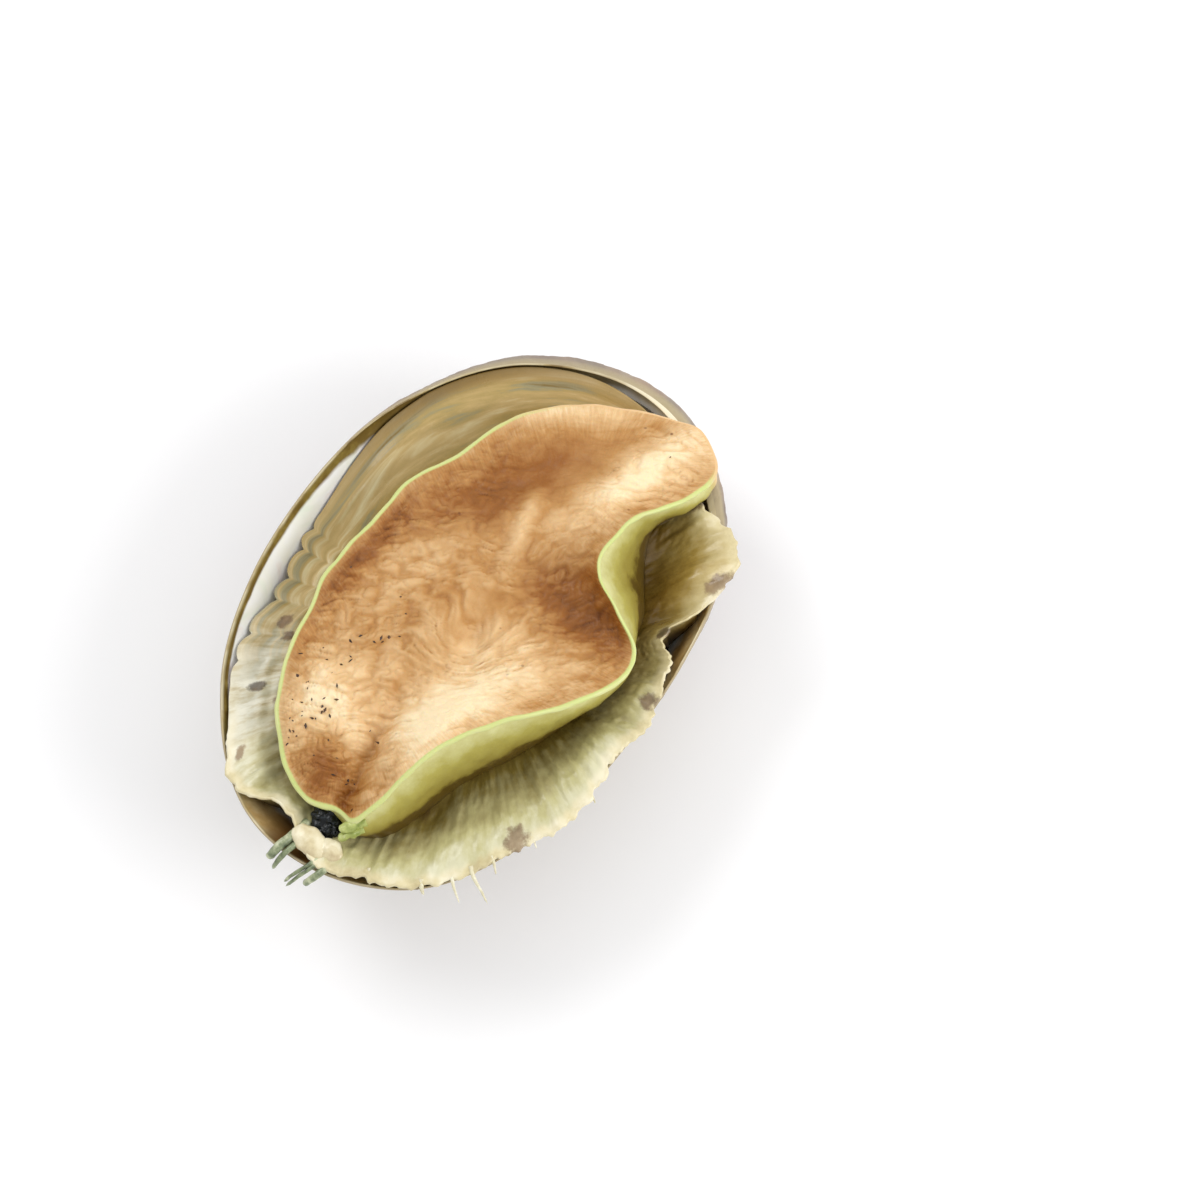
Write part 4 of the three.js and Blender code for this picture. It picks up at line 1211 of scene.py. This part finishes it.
class StageSettings(bpy.types.PropertyGroup):
    floor: colour_setting("Floor", "Pale tabletop", "#FAFAFB")
    lens: FloatProperty(name="Lens", description="Focal length, in mm", default=100, min=20, max=300)
    distance: FloatProperty(
        name="Distance", description="From the camera to the rim", default=0.845, unit="LENGTH",
    )
    azimuth: FloatProperty(
        name="Azimuth", description="Camera's turn round the part", default=math.radians(-47),
        subtype="ANGLE",
    )
    elevation: FloatProperty(
        name="Elevation", description="Camera's angle over the table", default=math.radians(70),
        subtype="ANGLE",
    )


# ------------------------------------------------------------------ operators
class BuildShell(bpy.types.Operator):
    """Builds the shell with its open pores"""

    bl_idname = "abalone.build_shell"
    bl_label = "Shell"

    def execute(self, context):
        settings = context.scene.abalone_shell
        shell = show(shell_mesh(settings), "shell", "shell", nacre(settings), shell_crust(settings))
        cutter = bpy.data.objects.new("pore_cutters", pore_cutters(settings))
        context.scene.collection.objects.link(cutter)
        cut = shell.modifiers.new("pores", "BOOLEAN")
        cut.object, cut.operation, cut.solver = cutter, "DIFFERENCE", "EXACT"
        context.view_layer.update()
        pierced = bpy.data.meshes.new_from_object(shell.evaluated_get(context.evaluated_depsgraph_get()))
        shell.modifiers.clear()
        bpy.data.objects.remove(cutter)
        solid, shell.data = shell.data, pierced
        bpy.data.meshes.remove(solid)
        pierced.name = "spiral_shell"
        return {"FINISHED"}


class BuildMantle(bpy.types.Operator):
    """Builds the mantle that lines the shell and spreads as a skirt"""

    bl_idname = "abalone.build_mantle"
    bl_label = "Mantle"

    def execute(self, context):
        settings = context.scene.abalone_flesh
        show(mantle_mesh(settings), "flesh", "soft_body", mantle_skin(settings))
        return {"FINISHED"}


class BuildFoot(bpy.types.Operator):
    """Builds the foot: its creased sole, green lip and sides"""

    bl_idname = "abalone.build_foot"
    bl_label = "Foot"

    def execute(self, context):
        settings = context.scene.abalone_flesh
        show(foot_mesh(settings), "flesh", "soft_body", sole_skin(settings), green_skin(settings))
        return {"FINISHED"}


class BuildHead(bpy.types.Operator):
    """Builds the dark mouth, the green lobes beside it, the feelers and the mantle's flap"""

    bl_idname = "abalone.build_head"
    bl_label = "Head"

    def execute(self, context):
        dark = small_skin(
            "wet_black_mouth_skin", [(0.35, "#050606"), (0.55, "#14181A"), (0.75, "#3C4246")], 900.0,
            Roughness=0.12, IOR=1.38,
        )
        mouth = [
            lump("mouth", (-61.2, -10.6, 0.2), (4.4, 3.6, 2.6), 0.3, 1.7, 1),
            lump("mouth", (-63.4, -13.2, -0.2), (2.8, 3.0, 2.4), 0.35, 1.4, 4),
        ]
        show(merge("mouth", mouth), "flesh", "soft_body", dark)
        lime = small_skin(
            "wet_green_lobe_skin", [(0.35, "#7E8C3C"), (0.55, "#B7C070"), (0.7, "#DDE0A8")], 260.0,
            Roughness=0.3, IOR=1.38, Coat_Weight=0.3,
        )
        lobes = [
            (1.2, 0.9, [(-60.5, -5.4, 2.0), (-59.6, -8.2, 4.2), (-59.2, -10.8, 4.0)]),
            (1.5, 1.3, [(-57.0, -19.6, 6.5), (-60.2, -18.4, 6.6), (-62.6, -16.4, 4.6)]),
            (1.1, 1.0, [(-58.6, -20.6, 5.0), (-62.0, -19.2, 5.0), (-64.2, -17.2, 3.4)]),
        ]
        show(tubes("lip_lobes", lobes, sides=28, bumps=0.35, seed=3), "flesh", "soft_body", lime)
        stalk = small_skin(
            "green_feeler_skin", [(0.34, "#4E5840"), (0.5, "#87916E"), (0.64, "#C4C8A4")], 320.0,
            Roughness=0.35, IOR=1.38, Coat_Weight=0.3,
        )
        show(tubes("feelers", FEELERS, bumps=0.12, seed=5), "flesh", "soft_body", stalk)
        pale = small_skin(
            "wet_mantle_flap_skin", [(0.35, "#B7A27E"), (0.5, "#D8CAA2"), (0.65, "#EDE4C6")], 140.0,
            Roughness=0.3, IOR=1.38, Coat_Weight=0.4,
        )
        flap = [
            lump("mantle_flap", (-69.4, -12.4, 2.2), (3.4, 5.4, 1.7), 0.12, 2.6, 7),
            lump("mantle_flap", (-67.6, -17.8, 2.4), (2.6, 3.4, 1.3), 0.14, 2.2, 8),
        ]
        show(merge("mantle_flap", flap), "flesh", "soft_body", pale)
        return {"FINISHED"}


class BuildFringe(bpy.types.Operator):
    """Builds the clear white tips that stand out of the mantle's edge"""

    bl_idname = "abalone.build_fringe"
    bl_label = "Fringe"

    def execute(self, context):
        clear = small_skin(
            "clear_fringe_skin", [(0.35, "#CFC6A2"), (0.55, "#E4DEC2"), (0.7, "#F4F1E0")], 300.0,
            Roughness=0.2, IOR=1.38, Subsurface_Weight=0.5, Subsurface_Radius=(0.002, 0.002, 0.0016),
        )
        show(tubes("fringe", FRINGE, sides=16, bumps=0.08, seed=9), "flesh", "soft_body", clear)
        return {"FINISHED"}


class BuildGrit(bpy.types.Operator):
    """Scatters crumbs of dark grit on the sole"""

    bl_idname = "abalone.build_grit"
    bl_label = "Grit"

    def execute(self, context):
        crumbs = small_skin(
            "wet_dark_grit", [(0.35, "#2A1A0E"), (0.55, "#4A2F1A"), (0.7, "#6E4C2C")], 500.0,
            Roughness=0.45,
        )
        show(grit_mesh(context.scene.abalone_flesh), "flesh", "soft_body", crumbs)
        return {"FINISHED"}


class BuildStage(bpy.types.Operator):
    """Sets the pale tabletop, the soft lights and the camera"""

    bl_idname = "abalone.build_stage"
    bl_label = "Stage"

    def execute(self, context):
        scene, settings = context.scene, context.scene.abalone_stage
        table = bpy.data.meshes.new("table")
        table.from_pydata([(-4, -4, 0), (4, -4, 0), (4, 4, 0), (-4, 4, 0)], [], [(0, 1, 2, 3)])
        top = bpy.data.objects.new("table", table)
        scene.collection.objects.link(top)
        paper, _, _ = principled("matt_white_paper", Base_Color=opaque(settings.floor), Roughness=0.7)
        table.materials.append(paper)

        world = bpy.data.worlds.new("soft_studio")
        scene.world = world
        world.use_nodes = True
        sky = world.node_tree.nodes["Background"].inputs
        sky["Color"].default_value = (1, 1, 1, 1)
        sky["Strength"].default_value = 0.70

        target = MOUTH / 1000
        turn, tilt = settings.azimuth, settings.elevation
        back = np.array([math.sin(turn) * math.cos(tilt), -math.cos(turn) * math.cos(tilt), math.sin(tilt)])
        right = np.array([math.cos(turn), math.sin(turn), 0])
        up = np.cross(back, right)
        for name, side, height, away, width, power in (
            ("key_softbox", -0.55, 0.85, 0.40, 0.5, 3.6),
            ("back_softbox", 0.30, 0.55, 0.80, 0.7, 1.2),
            ("right_fill", 0.75, 0.55, -0.30, 0.5, 4.4),
        ):
            lamp = bpy.data.lights.new(name, "AREA")
            lamp.energy, lamp.size = power, width
            light = bpy.data.objects.new(name, lamp)
            ahead = np.array([up[0], up[1], 0]) / math.hypot(up[0], up[1])
            place = target + right * side + ahead * away + np.array([0, 0, height])
            light.location = place
            light.rotation_euler = look_at(place, target)
            scene.collection.objects.link(light)

        view = bpy.data.cameras.new("camera")
        view.lens, view.sensor_width = settings.lens, SENSOR
        camera = bpy.data.objects.new("camera", view)
        ray = right * MOUTH_ASIDE + up * MOUTH_ABOVE - back * (settings.lens / SENSOR)
        ray /= np.linalg.norm(ray)
        camera.location = target - ray * settings.distance
        camera.rotation_euler = (math.pi / 2 - tilt, 0, turn)
        scene.collection.objects.link(camera)
        scene.camera = camera
        scene.view_settings.view_transform = "Standard"
        return {"FINISHED"}


def look_at(place, target):
    """Turns of X and Z that point a lamp's -Z from place to target."""
    x, y, z = target - place
    return (math.atan2(math.hypot(x, y), -z), 0, math.atan2(-x, y))


class AbalonePanel(bpy.types.Panel):
    """Lists the pieces and their settings"""

    bl_idname = "VIEW3D_PT_abalone"
    bl_label = "Abalone"
    bl_space_type = "VIEW_3D"
    bl_region_type = "UI"
    bl_category = "Abalone"

    def draw(self, context):
        for name, operators in (
            ("abalone_shell", (BuildShell,)),
            ("abalone_flesh", (BuildMantle, BuildFoot, BuildHead, BuildFringe, BuildGrit)),
            ("abalone_stage", (BuildStage,)),
        ):
            box = self.layout.box()
            settings = getattr(context.scene, name)
            for key in settings.bl_rna.properties.keys():
                if key not in ("rna_type", "name"):
                    box.prop(settings, key)
            for operator in operators:
                box.operator(operator.bl_idname)


SETTINGS = {"abalone_shell": ShellSettings, "abalone_flesh": FleshSettings, "abalone_stage": StageSettings}
CLASSES = (
    *SETTINGS.values(), BuildShell, BuildMantle, BuildFoot, BuildHead, BuildFringe, BuildGrit, BuildStage,
    AbalonePanel,
)


def register():
    for made in CLASSES:
        bpy.utils.register_class(made)
    for name, group in SETTINGS.items():
        setattr(bpy.types.Scene, name, PointerProperty(type=group))


def unregister():
    for name in SETTINGS:
        delattr(bpy.types.Scene, name)
    for made in reversed(CLASSES):
        bpy.utils.unregister_class(made)


def main():
    register()
    bpy.ops.abalone.build_stage()
    bpy.ops.abalone.build_shell()
    bpy.ops.abalone.build_mantle()
    bpy.ops.abalone.build_foot()
    bpy.ops.abalone.build_head()
    bpy.ops.abalone.build_fringe()
    bpy.ops.abalone.build_grit()


if __name__ == "__main__":
    main()
